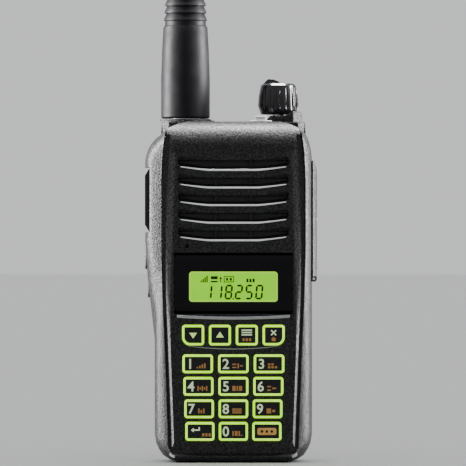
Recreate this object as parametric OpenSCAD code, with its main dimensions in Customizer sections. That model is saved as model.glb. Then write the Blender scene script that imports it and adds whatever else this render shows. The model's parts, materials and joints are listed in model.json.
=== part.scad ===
// Handheld aviation radio with a battery pack, a belt clip and a flexible antenna.
// Millimetres. +Z is up, +X is the user's right when reading the display, the keys face -Y.
// The origin is on the flat base, halfway across the width and the depth of the body.

/* [Body] */
// Width of the case at the keypad
body_width = 51.2; // [48:0.1:64]
// Height of the front case, without knob and antenna
body_height = 110.8; // [106:0.1:140]
// Depth of the body with its battery pack
body_depth = 30; // [29:0.1:40]
// Thickness of the moulded outer walls
wall = 1.8; // [1.5:0.1:2.2]
// Width of the sloped groove between the front panel and the side rails
groove_width = 0.6; // [0.4:0.1:1]

/* [Speaker grille] */
// Number of speaker slots
slot_count = 5; // [3:1:5]
// Distance between slots
slot_pitch = 5.7; // [4:0.1:6]
// Height of each slot at the face
slot_height = 2.7; // [1.5:0.1:3.2]
// Upward tilt of the slots into the case
slot_tilt = 24; // [0:1:35]
// Diameter of the speaker
speaker_diameter = 29; // [20:0.5:31]

/* [Display] */
// Width of the gloss window
window_width = 38.2; // [30:0.1:40]
// Height of the gloss window with its bevels
window_height = 19.6; // [14:0.1:20]
// Visible width of the display
display_width = 28.7; // [20:0.1:31]
// Visible height of the display
display_height = 9.8; // [8:0.1:11]

/* [Keys] */
// Distance between rows of digit keys
key_row_pitch = 7.3; // [6.8:0.1:7.4]
// Space between the rows of digit keys
key_row_gap = 1.3; // [1.2:0.1:2]
// Width of a digit key in the bottom row
key_width = 9.4; // [8:0.1:9.8]
// Width of a function key
menu_key_width = 7.1; // [5:0.1:7.3]
// Height of a function key
menu_key_height = 6.6; // [5:0.1:7]
// Play between a key and its hole, on each side
key_play = 0.2; // [0.1:0.05:0.3]
// How far a key stands out of the panel
key_proud = 0.55; // [0.3:0.05:1]
// Travel of a key
key_travel = 0.5; // [0.2:0.05:0.6]

/* [Side keys] */
// Height of the push-to-talk button
talk_height = 20.4; // [15:0.1:21]
// Travel of the push-to-talk button
talk_travel = 0.8; // [0.3:0.1:1]
// Travel of the two small side keys
side_key_travel = 0.5; // [0.2:0.1:0.8]

/* [Jack cover] */
// Height of the jack cover
cover_height = 39.6; // [36:0.1:42]
// Radius of the larger jack bore
large_jack_radius = 1.8; // [1.6:0.05:1.85]
// Radius of the smaller jack bore
small_jack_radius = 1.3; // [1:0.05:1.4]

/* [Volume knob] */
// Largest diameter of the knob
knob_diameter = 13.2; // [10:0.1:13.4]
// Height of the knob without its pointer
knob_height = 10.1; // [8:0.1:14]
// Number of grip flutes around the knob
knob_flutes = 20; // [12:1:28]

/* [Antenna] */
// Length of the antenna above its seat
antenna_length = 168; // [90:1:200]
// Diameter of the antenna at its base
antenna_diameter = 16; // [15.6:0.1:16.4]
// Number of flexible rings above the shoulder
antenna_rings = 13; // [4:1:16]
// Quarter turn that locks the antenna
antenna_turn = 90; // [60:1:100]

/* [Battery and clip] */
// Depth of the battery pack
pack_depth = 10.2; // [10:0.1:14]
// Travel that unhooks the battery pack
pack_travel = 10; // [6:0.5:11]
// Gap for a belt between the pack and the clip
belt_gap = 5.2; // [4:0.1:8]
// Length of the clip below its pin
clip_length = 58; // [40:1:70]

/* [Hidden] */
$fn = 48;
cut = 1;
half_w = body_width / 2;
top = body_height;
face = -body_depth / 2;
back = body_depth / 2;
gap = 0.3;
fit = 0.05;
plate_rear = back - pack_depth - gap;
plate_front = plate_rear - 2.2;
case_rear = plate_front - gap;
roof = top - 0.2;
roof_front = face + 9.7;
case_top_rear = roof_front - gap;
split_z = top - 9.8;
deck_z = top - 24.8;

// Front panel and rails
panel_top_w = half_w - 3.9;
panel_mid_w = half_w - 2.8;
panel_low_w = half_w - 5.2;
groove_depth = 1.7;
panel_chamfer = 2.8;
roll_radius = 8.2;
chin = 0.5;

// Left pod
pod_reach = 3.1;
talk_z = top - 25.6;
talk_proud = 3.2;
talk_width = 7.8;
side_mid = case_rear - talk_width / 2 - 1.0;
inner_w = half_w - wall;

// Case screws
boss_x = half_w - 4.4;
boss_z = [8.5, 47.5];
boss_r = 1.85;
screw_r = 0.8;
screw_head_r = 1.85;

// Keypad
key_height = key_row_pitch - key_row_gap;
digit_z = 10.2;
menu_z = 41.4;
menu_pitch = menu_key_width + 1.6;
key_back = face + 2.3;
skirt = 0.35;
skirt_depth = 0.6;
key_corner = 0.95;
menu_corner = 2.6;
column_pitch = key_width + 1.45;
column_growth = 0.235;
width_growth = 0.15;

// Display
window_z = top - 52.6;
lcd_z = top - 53.7;
pocket_depth = 1.6;
window_play = 0.15;
window_bevel = 1.3;
lcd_front = face + 1.7;
lcd_depth = 1.2;
bar_z = top - 63.8;
bar_span = 18.3;
bar_height = 1.0;
bar_sag = 0.6;

// Boards
mat_front = key_back + 1.3;
mat_depth = 0.5;
dome_front = mat_front + mat_depth + gap;
board_front = dome_front + 0.4;
board_depth = 1.0;
main_front = case_rear - 3.5;
main_w = half_w - 7.3;
front_board_w = half_w - 7.2;
board_hole_z = [14, 60];
dome_r = 2;

// Speaker
speaker_z = top - 26.6;
speaker_r = speaker_diameter / 2;
speaker_front = face + 2.7;
slot_span = 17.9;
slot_rise = 1.1;
slot_flat = 9;
slot_first_z = top - 15.65;
slot_last_z = slot_first_z - (slot_count - 1) * slot_pitch;
rib_x = 5.7;
rib_w = 0.8;
mesh_low_z = slot_last_z + 0.4;
mesh_high_z = slot_first_z + slot_height + slot_rise + 1.4;
microphone_x = 10.6 - half_w;
microphone_z = top - 40.6;
microphone_r = 2;

// Top controls
knob_x = half_w - 10.9;
knob_y = face + 20;
knob_z = top + 2.5;
knob_r = knob_diameter / 2;
guard_front = knob_y - knob_r - 1.4;
guard_cut = 4.6;
shoulder_cut = 1.6;
shaft_r = 1.95;
aerial_x = 9.9 - half_w;
aerial_y = face + 20;
aerial_z = top + 1.1;
aerial_r = antenna_diameter / 2;
stub_r = 4.8;
stub_top = aerial_z + 6;
lug_z = aerial_z + 3.1;
lug_r = 0.9;
lug_reach = 5.9;
sleeve_r = 6.6;
flange_r = stub_r + 0.8;
radiator_turns = 18;
ring_pitch = 2.4;
ring_base = aerial_z + 30.4;
boss_hole_r = 3.05;
lens_x = 8.9;
lens_y = roof_front + 1.6;

// Jacks
jack_y = face + 10.1;
large_jack_z = top - 24.8;
small_jack_z = top - 34.8;
cover_low_z = top - 52.2;
cover_y = jack_y;
cover_width = 10.2;
hinge_x = half_w + 0.6;
hinge_z = cover_low_z + 1.0;
hinge_r = 0.95;
pin_r = 0.45;
large_nose_r = 2.9;
small_nose_r = 2.4;
seal_x = 2.2 - inner_w;

// Battery
pack_top = deck_z - 0.6;
pack_w = half_w - 1.3;
pack_base = 0.1;
lid_depth = 2.5;
rail_x = half_w - 8;
rail_length = 8;
rail_low_z = 14;
rail_high_z = 52;
stem_w = 1.4;
head_w = 3.4;
notch_z = 7.6;
terminals = [-1.5:1.5];
terminal_pitch = 3.4;
terminal_w = 2.0;
terminal_low_z = top - 34.5;
terminal_high_z = top - 31.1;

// Clip
clip_pin_z = top - 14.5;
clip_pin_y = back + belt_gap - 1.0;
clip_w = 6.5;
clip_pin_r = 0.98;
bracket_w = 8.4;
bracket_screw_x = 5.2;
bracket_screw_z = top - 18.6;
clip_arm = 1.6;
coil_r = 1.35;
wire_r = 0.22;
coil_pitch = 1.05;

// Colours
shell = [0.07, 0.07, 0.08];
dark = [0.12, 0.12, 0.13];
glow = [0.7, 0.9, 0.35];
steel = [0.72, 0.73, 0.75];
brass = [0.78, 0.62, 0.3];
green = [0.1, 0.35, 0.2];

// ---- Helpers ----

// Extrudes an X-Z drawing from y0 to y1
module slab(y0, y1) {
    translate([0, y1, 0]) rotate([90, 0, 0]) linear_extrude(height = y1 - y0) children();
}

// Extrudes a Y-Z drawing from x0 to x1
module across(x0, x1) {
    translate([x0, 0, 0]) rotate([90, 0, 90]) linear_extrude(height = x1 - x0) children();
}

// A box between two corners
module block(low, high) {
    translate(low) cube(high - low);
}

// A rod along Y
module rod_y(x, z, r, y0, y1) {
    translate([x, y1, z]) rotate([90, 0, 0]) cylinder(r = r, h = y1 - y0);
}

// A rod along X
module rod_x(y, z, r, x0, x1) {
    translate([x0, y, z]) rotate([0, 90, 0]) cylinder(r = r, h = x1 - x0);
}

// A rectangle with round corners, centred
module soft_rect(w, h, r) {
    square([w - 2 * r, h], center = true);
    square([w, h - 2 * r], center = true);
    for (sx = [-1, 1], sz = [-1, 1])
        translate([sx * (w / 2 - r), sz * (h / 2 - r)]) circle(r = r);
}

// Mirrors a right-hand outline to a closed polygon
function both_sides(pts) = concat(pts, [for (i = [len(pts) - 1:-1:0]) [-pts[i][0], pts[i][1]]]);

// A point list part of the way from one outline to another
function between(a, b, t) = [for (i = [0:len(a) - 1]) a[i] * (1 - t) + b[i] * t];

// ---- Outlines, right-hand half, from the base up ----

function case_outline() = [
    [half_w - 7.3, 0], [half_w - 4.7, 1.0], [half_w - 2.7, 2.3], [half_w - 1.4, 4.2],
    [half_w - 0.5, 6.2], [half_w, 9.1], [half_w, 40], [half_w, 66], [half_w, top - 12.4],
    [half_w - 0.3, top - 9.4], [half_w - 0.8, top - 7.4], [half_w - 1.3, top - 5.6],
    [half_w - 2.4, top - 3.7], [half_w - 4.6, top - 2.1], [half_w - 7.4, top - 0.8],
    [half_w - 10.6, top]
];

function crest_outline() = [
    [half_w - 8.6, 1.5], [half_w - 6.8, 2.0], [half_w - 5.6, 2.9], [half_w - 4.9, 4.4],
    [half_w - 4.6, 6.6], [half_w - 4.5, 9.4], [half_w - 3.5, 40], [half_w - 2.4, 66],
    [half_w - 2.3, top - 15], [half_w - 2.6, top - 9.6], [half_w - 2.9, top - 7.4],
    [half_w - 3.2, top - 5.6], [half_w - 3.7, top - 3.9], [half_w - 5.4, top - 2.5],
    [half_w - 8.0, top - 1.1], [half_w - 10.9, top - 0.2]
];

function panel_outline(grow) = [
    [panel_low_w - 3 + grow, 0.9], [panel_low_w + grow, 4.2], [half_w - 4.2 + grow, 33],
    [half_w - 3.3 + grow, 54], [panel_mid_w + grow, 68], [panel_mid_w + grow, top - 19],
    [half_w - 3.2 + grow, top - 12], [panel_top_w + grow, top - 4.5],
    [panel_top_w - 1.2 + grow, top + 2]
];

function panel_face() = [
    [panel_low_w - 5, 3.4], [panel_low_w - 1.2, 6.4], [half_w - 5.4, 33],
    [half_w - 5.0, 54], [half_w - 5.9, 68], [half_w - 6.2, top - 19],
    [half_w - 6.6, top - 12], [half_w - 7.1, top - 4.5], [half_w - 7.6, top + 2]
];

function pod_outline() = [
    [-half_w + 5, 36], [-half_w + 0.2, 38], [-half_w - 2.4, 61], [-half_w - pod_reach, 72],
    [-half_w - pod_reach, top - 12.4], [-half_w - 2.3, top - 9.4],
    [-half_w - 1.2, top - 7.4], [-half_w + 0.5, top - 5.4], [-half_w + 2.4, top - 4],
    [-half_w + 5, top - 4]
];

function pod_crest() = [
    [-half_w + 6, 44], [-half_w + 3.3, 48], [-half_w + 2.6, 62], [-half_w + 2.4, 72],
    [-half_w + 2.4, top - 14], [-half_w + 2.6, top - 10], [-half_w + 2.9, top - 8],
    [-half_w + 3.2, top - 6.4], [-half_w + 3.6, top - 5], [-half_w + 6, top - 5]
];

// One thin layer of a hull
module layer(pts, y) {
    slab(y, y + 0.02) polygon(pts);
}

// The case without its hollow: full width at the back, rounded over to the rail crest
module case_solid() {
    low = case_outline();
    crest = crest_outline();
    hull() {
        slab(face + 7.2, case_rear) polygon(both_sides(low));
        layer(both_sides(between(crest, low, 0.88)), face + 4.8);
        layer(both_sides(between(crest, low, 0.62)), face + 2.9);
        layer(both_sides(between(crest, low, 0.2)), face + 1.5);
        layer(both_sides(crest), face + 1.0);
    }
}

// The bulge on the left side that carries the push-to-talk button
module pod_solid() {
    hull() {
        slab(face + 8.0, case_rear) polygon(pod_outline());
        layer(between(pod_crest(), pod_outline(), 0.86), face + 5.2);
        layer(between(pod_crest(), pod_outline(), 0.56), face + 3.1);
        layer(pod_crest(), face + 1.1);
    }
}

// Side profile shared by case and panel: rolled top edge, bevelled bottom edge
module side_profile() {
    translate([face + roll_radius, top - roll_radius]) circle(r = roll_radius);
    polygon([
        [face, top - roll_radius], [face + roll_radius, top - roll_radius],
        [face + roll_radius, top], [back, top], [back, 0], [face + 2.6, 0],
        [face + 0.9, 0.5], [face - chin, 1.7], [face - chin, 2.1], [face, 3.4]
    ]);
}

// The raised front panel with its wide chamfers and chin
module panel_solid() {
    hull() {
        slab(face + panel_chamfer * 0.55, face + 5) polygon(both_sides(panel_outline(0)));
        layer(both_sides(panel_face()), face);
    }
    hull() {
        slab(face - chin, face + 3) polygon([[-half_w + 6.5, 1.6], [half_w - 6.5, 1.6],
            [half_w - 6.5, 2.2], [-half_w + 6.5, 2.2]]);
        slab(face + 1.4, face + 3) polygon(both_sides([[half_w - 7.6, 0.4],
            [half_w - 5.6, 1.2], [half_w - 4.9, 2.2], [half_w - 4.9, 3.4]]));
    }
}

// The trench between the panel and the rails
module panel_groove() {
    slab(face - cut, face + groove_depth) difference() {
        polygon(both_sides(panel_outline(groove_width)));
        polygon(both_sides(panel_outline(0)));
        translate([-half_w, -cut]) square([body_width, 5.4]);
    }
}

// The hollow of the front case, in two steps that follow the rails
module case_hollow() {
    slab(face + 2.0, case_rear + cut) polygon(both_sides([
        [half_w - 8.4, 2.6], [half_w - 7.2, 4.4], [half_w - 6.2, 33], [half_w - 5.2, 60],
        [half_w - 5.2, top - 15], [half_w - 6.4, top - 6], [half_w - 9, top - 4.6]
    ]));
    slab(face + 5.2, case_rear + cut) polygon(both_sides([
        [half_w - 6.6, wall], [half_w - 3.4, 4.6], [inner_w, 9.1], [inner_w, top - 13],
        [half_w - 3.2, top - 7.4], [half_w - 6.4, top - 3.6], [half_w - 10.8, top - wall]
    ]));
}

// One speaker slot: flat middle, ends turned up
module slot_shape() {
    polygon([
        [-slot_span, slot_rise + 0.5], [-slot_span + 0.5, slot_rise], [-slot_flat, 0],
        [slot_flat, 0], [slot_span - 0.5, slot_rise], [slot_span, slot_rise + 0.5],
        [slot_span, slot_rise + slot_height - 0.5],
        [slot_span - 0.5, slot_rise + slot_height], [slot_flat, slot_height],
        [-slot_flat, slot_height], [-slot_span + 0.5, slot_rise + slot_height],
        [-slot_span, slot_rise + slot_height - 0.5]
    ]);
}

module grille_slots() {
    for (i = [0:slot_count - 1])
        translate([0, face, slot_first_z - i * slot_pitch]) rotate([slot_tilt, 0, 0])
            slab(-cut, 2.9) slot_shape();
}

// ---- Keys ----

function digit_row_z(row) = digit_z + (3 - row) * key_row_pitch;
function digit_w(row) = key_width + (3 - row) * width_growth;
function digit_x(row, col) = (col - 1) * (column_pitch + (3 - row) * column_growth);
function menu_x(i) = (i - 1.5) * menu_pitch;

// Outline of a digit key, grown by a margin
module digit_shape(row, grow) {
    soft_rect(digit_w(row) + 2 * grow, key_height + 2 * grow, key_corner);
}

// Outline of a function key: the outer ones have one large lower corner
module menu_shape(i, grow) {
    w = menu_key_width + 2 * grow;
    h = menu_key_height + 2 * grow;
    side = i == 0 ? -1 : 1;
    if (i == 0 || i == 3) {
        difference() {
            soft_rect(w, h, key_corner);
            translate([side * w / 2, -h / 2]) square(2 * menu_corner, center = true);
        }
        translate([side * (w / 2 - menu_corner), -h / 2 + menu_corner]) circle(r = menu_corner);
    } else {
        soft_rect(w, h, key_corner);
    }
}

// Face, body and skirt of a key drawn by its child 0, with the skirt drawn by child 1
module key_body() {
    slab(face - key_proud, key_back) children(0);
    slab(key_back, key_back + skirt_depth) children(1);
}

module digit_key(row, col) {
    color(glow) translate([digit_x(row, col), 0, digit_row_z(row)]) key_body() {
        digit_shape(row, 0);
        digit_shape(row, skirt);
    }
}

module menu_key(i) {
    color(glow) translate([menu_x(i), 0, menu_z]) key_body() {
        menu_shape(i, 0);
        menu_shape(i, skirt);
    }
}

module key_holes() {
    for (row = [0:3], col = [0:2])
        translate([digit_x(row, col), 0, digit_row_z(row)])
            slab(face - cut, face + 3) digit_shape(row, key_play);
    for (i = [0:3])
        translate([menu_x(i), 0, menu_z]) slab(face - cut, face + 3) menu_shape(i, key_play);
}

// ---- Front case ----

// The sagging outline of the trim bar
function sag(x, span) = -bar_sag * (1 - (x / span) * (x / span));

module bar_shape(span, low, high) {
    n = 8;
    polygon(concat(
        [for (i = [0:n]) let (x = -span + 2 * span * i / n) [x, sag(x, span) + low]],
        [for (i = [n:-1:0]) let (x = -span + 2 * span * i / n) [x, sag(x, span) + high]]
    ));
}

module side_pockets() {
    // recess and slot for the push-to-talk button
    block([-half_w - 6, face + 1, talk_z - talk_height / 2 - 0.3],
          [-half_w - 1.6, case_rear + cut, talk_z + talk_height / 2 + 0.4]);
    block([-half_w - 6, side_mid - talk_width / 2 - gap, talk_z - talk_height / 2 - 0.25],
          [-half_w + 4, side_mid + talk_width / 2 + gap, talk_z + talk_height / 2 + 0.25]);
    for (k = [0, 1])
        translate([0, side_mid, side_key_z(k)]) across(-half_w - 6, -half_w + 4)
            soft_rect(5 + 2 * key_play, side_key_height(k) + 2 * key_play, 1.3);
}

function side_key_z(k) = k == 0 ? top - 45.9 : top - 55.4;
function side_key_height(k) = k == 0 ? 4.4 : 3.8;
function side_key_proud(k) = k == 0 ? 3.2 : 2.3;

module jack_holes() {
    // shallow recess for the cover, sockets' windows and hinge room
    across(half_w - 0.55, half_w + cut) translate([cover_y, cover_low_z + cover_height / 2])
        soft_rect(cover_width + 2 * gap, cover_height + 0.8, 0.7);
    rod_x(jack_y, large_jack_z, large_nose_r + gap, inner_w - cut, half_w + cut);
    rod_x(jack_y, small_jack_z, small_nose_r + gap, inner_w - cut, half_w + cut);
}

module hinge_knuckle() {
    difference() {
        union() {
            rod_y(hinge_x, hinge_z, hinge_r, cover_y - 1, cover_y + 1);
            block([half_w - 0.8, cover_y - 1, hinge_z - hinge_r],
                  [hinge_x, cover_y + 1, hinge_z + hinge_r * 0.4]);
        }
        rod_y(hinge_x, hinge_z, pin_r, cover_y - 2, cover_y + 2);
    }
}

module front_case() {
    color(shell) {
        difference() {
            intersection() {
                union() {
                    difference() {
                        case_solid();
                        panel_groove();
                    }
                    pod_solid();
                    intersection() {
                        panel_solid();
                        slab(face - 2 * chin, case_rear) polygon(both_sides(case_outline()));
                    }
                }
                across(-half_w - 8, half_w + 8) side_profile();
            }
            case_hollow();
            grille_slots();
            key_holes();
            side_pockets();
            jack_holes();
            // room for the top housing
            block([-half_w - 8, case_top_rear, split_z - gap],
                  [half_w + 8, case_rear + cut, top + cut]);
            // window pocket and display opening
            translate([0, 0, window_z]) slab(face - cut, face + pocket_depth)
                square([window_width + 2 * window_play, window_height + 2 * window_play],
                       center = true);
            translate([0, 0, lcd_z]) slab(face, face + 3)
                square([display_width + 4.5, display_height + 4.4], center = true);
            // trim pocket
            translate([0, 0, bar_z]) slab(face - cut, face + 0.9)
                bar_shape(bar_span + 0.1, -0.1, bar_height + 0.1);
            // microphone opening
            rod_y(microphone_x, microphone_z, 0.6, face - cut, face + 3);
            translate([microphone_x, 0, microphone_z]) slab(face - cut, face + 0.35)
                soft_rect(8, 1.3, 0.6);
            // seal groove
            seal_ring(0.1, case_rear - 0.55, case_rear + cut);
        }
        // two upright bars behind the slots
        for (s = [-1, 1])
            block([s * rib_x - rib_w / 2, face + 1.5, slot_last_z + 0.4],
                  [s * rib_x + rib_w / 2, face + 2.2, slot_first_z + slot_height + 0.6]);
        hinge_knuckle();
        for (s = [-1, 1], z = boss_z)
            difference() {
                rod_y(s * boss_x, z, boss_r, face + 4.4, case_rear);
                rod_y(s * boss_x, z, screw_r, case_rear - 8, case_rear + cut);
            }
    }
}

module display_window() {
    h = window_height / 2;
    color(dark) translate([0, 0, window_z]) across(-window_width / 2, window_width / 2)
        polygon([
            [face + pocket_depth - fit, -h], [face + 0.75, -h], [face - 0.1, -h + window_bevel],
            [face - 0.1, h - window_bevel], [face + 0.75, h], [face + pocket_depth - fit, h]
        ]);
}

module trim_bar() {
    color(steel) translate([0, 0, bar_z]) slab(face - 0.3, face + 0.85)
        bar_shape(bar_span, 0, bar_height);
}

// ---- Sound ----

// Dust cloth glued behind the slots
module speaker_mesh() {
    color(dark) translate([0, 0, (mesh_low_z + mesh_high_z) / 2]) slab(face + 2.35, face + 2.55)
        soft_rect(2 * slot_span + 2.4, mesh_high_z - mesh_low_z, 2);
}

module speaker_frame() {
    color(steel) translate([0, speaker_front, speaker_z]) rotate([-90, 0, 0])
        rotate_extrude() polygon([
            [speaker_r - 1.6, 0], [speaker_r, 0], [speaker_r, 0.9], [speaker_r - 2.2, 1.2],
            [7.6, 2.9], [7.6, 4.2], [0, 4.2], [0, 3.1], [5.6, 3.1], [5.6, 2.4],
            [speaker_r - 2.6, 0.9], [speaker_r - 1.6, 0.6]
        ]);
}

module speaker_cone() {
    color(dark) translate([0, speaker_front, speaker_z]) rotate([-90, 0, 0])
        rotate_extrude() polygon([
            [0, 0.9], [3.6, 1.3], [speaker_r - 4, 0.25], [speaker_r - 3, 0],
            [speaker_r - 1.8, 0.3], [speaker_r - 1.8, 0.5], [speaker_r - 3, 0.3],
            [speaker_r - 4, 0.5], [3.6, 1.6], [0, 1.2]
        ]);
}

module microphone() {
    color(steel) rod_y(microphone_x, microphone_z, microphone_r, face + 2.2, face + 4.0);
}

// ---- Keypad and display inside ----

module keypad_mat() {
    color(dark) slab(mat_front, mat_front + mat_depth) translate([0, 26])
        soft_rect(2 * front_board_w - 4, 40, 2);
}

module front_board() {
    color(green) difference() {
        slab(board_front, board_front + board_depth)
            polygon([[-front_board_w + 2, 6], [front_board_w - 2, 6], [front_board_w, 12],
                [front_board_w, top - 42.6], [-front_board_w, top - 42.6],
                [-front_board_w, 12]]);
        for (s = [-1, 1]) rod_y(s * (front_board_w - 2), 48, 1, board_front - 1, 0);
    }
    // snap domes under the keys
    color(steel) {
        for (row = [0:3], col = [0:2])
            rod_y(digit_x(row, col), digit_row_z(row), dome_r, dome_front, dome_front + 0.3);
        for (i = [0:3]) rod_y(menu_x(i), menu_z, dome_r, dome_front, dome_front + 0.3);
    }
}

module lcd_panel() {
    color([0.6, 0.8, 0.25]) translate([0, 0, lcd_z]) slab(lcd_front, lcd_front + lcd_depth)
        soft_rect(display_width + 2.6, display_height + 3.2, 0.6);
}

module lcd_frame() {
    color([0.9, 0.9, 0.85]) translate([0, 0, lcd_z])
        slab(lcd_front + lcd_depth + 0.4, board_front - 0.1)
        difference() {
            soft_rect(display_width + 5, display_height + 6, 1);
            square([display_width - 4, display_height - 4], center = true);
        }
}

module main_board() {
    color(green) slab(main_front, main_front + 1) difference() {
        polygon([[-main_w, 6], [main_w, 6], [main_w, top - 19], [-main_w, top - 19]]);
        for (s = [-1, 1], z = board_hole_z)
            translate([s * (main_w - 2.5), z]) circle(r = 1.2);
    }
}

module shield_cans() {
    color(steel) for (z = [[8, 24], [27, 43], [46, 60]])
        difference() {
            block([-14, main_front - 3, z[0]], [14, main_front - 0.05, z[1]]);
            block([-13.7, main_front - 2.7, z[0] + 0.3], [13.7, main_front, z[1] - 0.3]);
        }
}

module flex_cable() {
    b = board_front + board_depth + 0.05;
    m = main_front - 0.05;
    color([0.75, 0.45, 0.15]) across(-5, 5) polygon([
        [b, 62], [b + 0.25, 62], [b + 0.25, 66], [m - 1.4, 66.6], [m - 0.25, 65.6],
        [m - 0.25, 62], [m, 62], [m, 65.8], [m - 1.3, 66.9], [b, 66.3]
    ]);
}

// ---- Rear chassis ----

module seal_ring(grow, y0, y1) {
    slab(y0, y1) difference() {
        polygon([[-half_w + 7, 0.6 - grow], [half_w - 7, 0.6 - grow],
            [half_w - 0.7 + grow, 9], [half_w - 0.7 + grow, split_z - 3 + grow],
            [-half_w + 0.7 - grow, split_z - 3 + grow], [-half_w + 0.7 - grow, 9]]);
        polygon([[-half_w + 7.2, 1.2 + grow], [half_w - 7.2, 1.2 + grow],
            [half_w - 1.4 - grow, 9.2], [half_w - 1.4 - grow, split_z - 3 - grow],
            [-half_w + 1.4 + grow, split_z - 3 - grow], [-half_w + 1.4 + grow, 9.2]]);
    }
}

module case_seal() {
    color(dark) seal_ring(0, case_rear - 0.5, plate_front - fit);
}

// Back view outline of the chassis up to its shoulders
module chassis_shape(z1) {
    polygon(both_sides([
        [half_w - 7.5, 0], [half_w - 3, 2.4], [half_w - 0.8, 6.4], [half_w - 0.3, 9.2],
        [half_w - 0.3, top - 12.4], [half_w - 0.7, top - 9.2], [half_w - 1.6, top - 5.6],
        [half_w - 2.0, top - 4.2], [half_w - 2.3, z1]
    ]));
}

// Raised collar around the knob with a guard that sweeps up on the outer side
module knob_boss_shape() {
    polygon([
        [knob_x - 5.2, top - 3], [knob_x - 3.6, top + 1.0], [knob_x - 2.6, top + 2.0],
        [knob_x + 2.0, top + 2.0], [knob_x + 3.4, top + 2.6], [knob_x + 4.8, top + 3.4],
        [half_w - 3.9, top + 3.4], [half_w - 3.3, top + 3.2], [half_w - 2.0, top - 3],
        [half_w - 1.9, top - 5]
    ]);
}

module chassis_solid() {
    slab(plate_front, plate_rear) chassis_shape(roof);
    difference() {
        intersection() {
            union() {
                block([-half_w, roof_front, split_z], [half_w, back, roof]);
                block([-half_w, plate_front, deck_z], [half_w, back, roof]);
            }
            slab(roof_front, back) chassis_shape(roof);
            across(-half_w, half_w) polygon([
                [roof_front, split_z - 20], [roof_front, roof], [back - 5, roof],
                [back - 1.6, roof - 1.4], [back, roof - 5], [back, split_z - 20]
            ]);
        }
        // bevelled front corners of the shoulders
        for (s = [-1, 1]) translate([s * (half_w - 2.3), roof_front, top - 4.6]) rotate([0, 0, 45])
            translate([-shoulder_cut, -shoulder_cut, 0])
                cube([2 * shoulder_cut, 2 * shoulder_cut, 10]);
    }
    intersection() {
        slab(guard_front, knob_y + knob_r - 0.4) knob_boss_shape();
        linear_extrude(height = top + 10) polygon([
            [0, guard_front], [half_w - 1.5 - guard_cut, guard_front],
            [half_w - 1.5, guard_front + guard_cut], [half_w - 1.5, back], [0, back]
        ]);
    }
    intersection() {
        translate([aerial_x, aerial_y, top - 3]) cylinder(r = aerial_r + 1.6, h = 3.5);
        block([-half_w + 2.3, roof_front, top - 3], [half_w, back, top + 0.5]);
    }
    // T rails that hold the pack
    for (s = [-1, 1], z = [rail_low_z, rail_high_z]) {
        block([s * rail_x - stem_w / 2, plate_rear - 0.1, z],
              [s * rail_x + stem_w / 2, plate_rear + 1.5, z + rail_length]);
        block([s * rail_x - head_w / 2, plate_rear + 1.3, z],
              [s * rail_x + head_w / 2, plate_rear + 2.2, z + rail_length]);
    }
}

module rear_chassis() {
    color(shell) difference() {
        chassis_solid();
        // hollow of the top housing
        block([-half_w + 4, roof_front + wall, split_z - cut],
              [half_w - 4, back - wall, roof - wall]);
        block([-half_w + wall + 1, plate_front - cut, deck_z + wall],
              [half_w - wall - 1, back - wall, roof - 8]);
        block([-half_w + 4, plate_front - cut, deck_z + wall],
              [half_w - 4, back - wall, roof - wall]);
        // knob room, bushing hole, antenna hole, lens hole
        translate([knob_x, knob_y, knob_z - 0.3]) cylinder(r = knob_r + 0.6, h = 8);
        translate([knob_x, knob_y, roof - 4]) cylinder(r = boss_hole_r, h = 8);
        translate([aerial_x, aerial_y, roof - 4]) cylinder(r = stub_r + fit, h = 8);
        translate([lens_x, lens_y, roof - 4]) cylinder(r = 0.95, h = 8);
        translate([lens_x, lens_y, roof + 0.02]) linear_extrude(height = 4) soft_rect(7.5, 2.9, 1.35);
        // latch pockets
        block([-5.4, plate_rear - 0.75, 4.4], [5.4, plate_rear + cut, 27]);
        block([-5.4, plate_front + 0.45, 4.6], [5.4, plate_rear, 6.0]);
        block([-6.3, plate_front + 0.35, -cut], [6.3, plate_front + 1.65, 5.0]);
        // screws
        for (s = [-1, 1], z = boss_z) {
            rod_y(s * boss_x, z, 1.1, plate_front - cut, plate_rear + cut);
            rod_y(s * boss_x, z, 2.0, plate_rear - 1.1, plate_rear + cut);
        }
        // terminal windows
        for (i = terminals)
            block([i * terminal_pitch - terminal_w / 2 - 0.2, plate_front - cut, terminal_low_z - gap],
                  [i * terminal_pitch + terminal_w / 2 + 0.2, plate_rear + cut, terminal_high_z + gap]);
        // screws of the clip bracket
        for (s = [-1, 1]) rod_y(s * bracket_screw_x, bracket_screw_z, 0.85, back - 3, back + cut);
    }
}

// A pan-head screw along -Y with a round drive recess
module screw(x, z, head_r, shank_r, tip, seat) {
    difference() {
        union() {
            rod_y(x, z, head_r, seat, seat + 0.8);
            rod_y(x, z, shank_r, tip, seat + 0.1);
        }
        rod_y(x, z, 0.6, seat + 0.4, seat + cut);
    }
}

// Four case screws under the pack and two that hold the clip bracket
module screws() {
    color(steel) {
        for (s = [-1, 1], z = boss_z)
            screw(s * boss_x, z, screw_head_r, screw_r - 0.03, case_rear - 6, plate_rear - 1.05);
        for (s = [-1, 1])
            screw(s * bracket_screw_x, bracket_screw_z, 1.75, 0.82, back - 2.8, back + 0.92);
    }
}

module battery_terminals() {
    color(brass) for (i = terminals)
        block([i * terminal_pitch - terminal_w / 2, plate_front + 0.2, terminal_low_z],
              [i * terminal_pitch + terminal_w / 2, plate_rear + 0.05, terminal_high_z]);
}

// Leaf with a hook that holds the pack up, and a tab that the release pushes
module latch_spring() {
    y = plate_rear - 0.7;
    color(steel) across(-5, 5) polygon([
        [y, 4.9], [y, 26.6], [y + 0.35, 26.6], [y + 0.35, 8.9], [y + 2.1, 8.9],
        [y + 2.1, 8.6], [y + 0.95, 8.1], [y + 0.35, 8.1], [y + 0.35, 4.9]
    ]);
}

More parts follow.
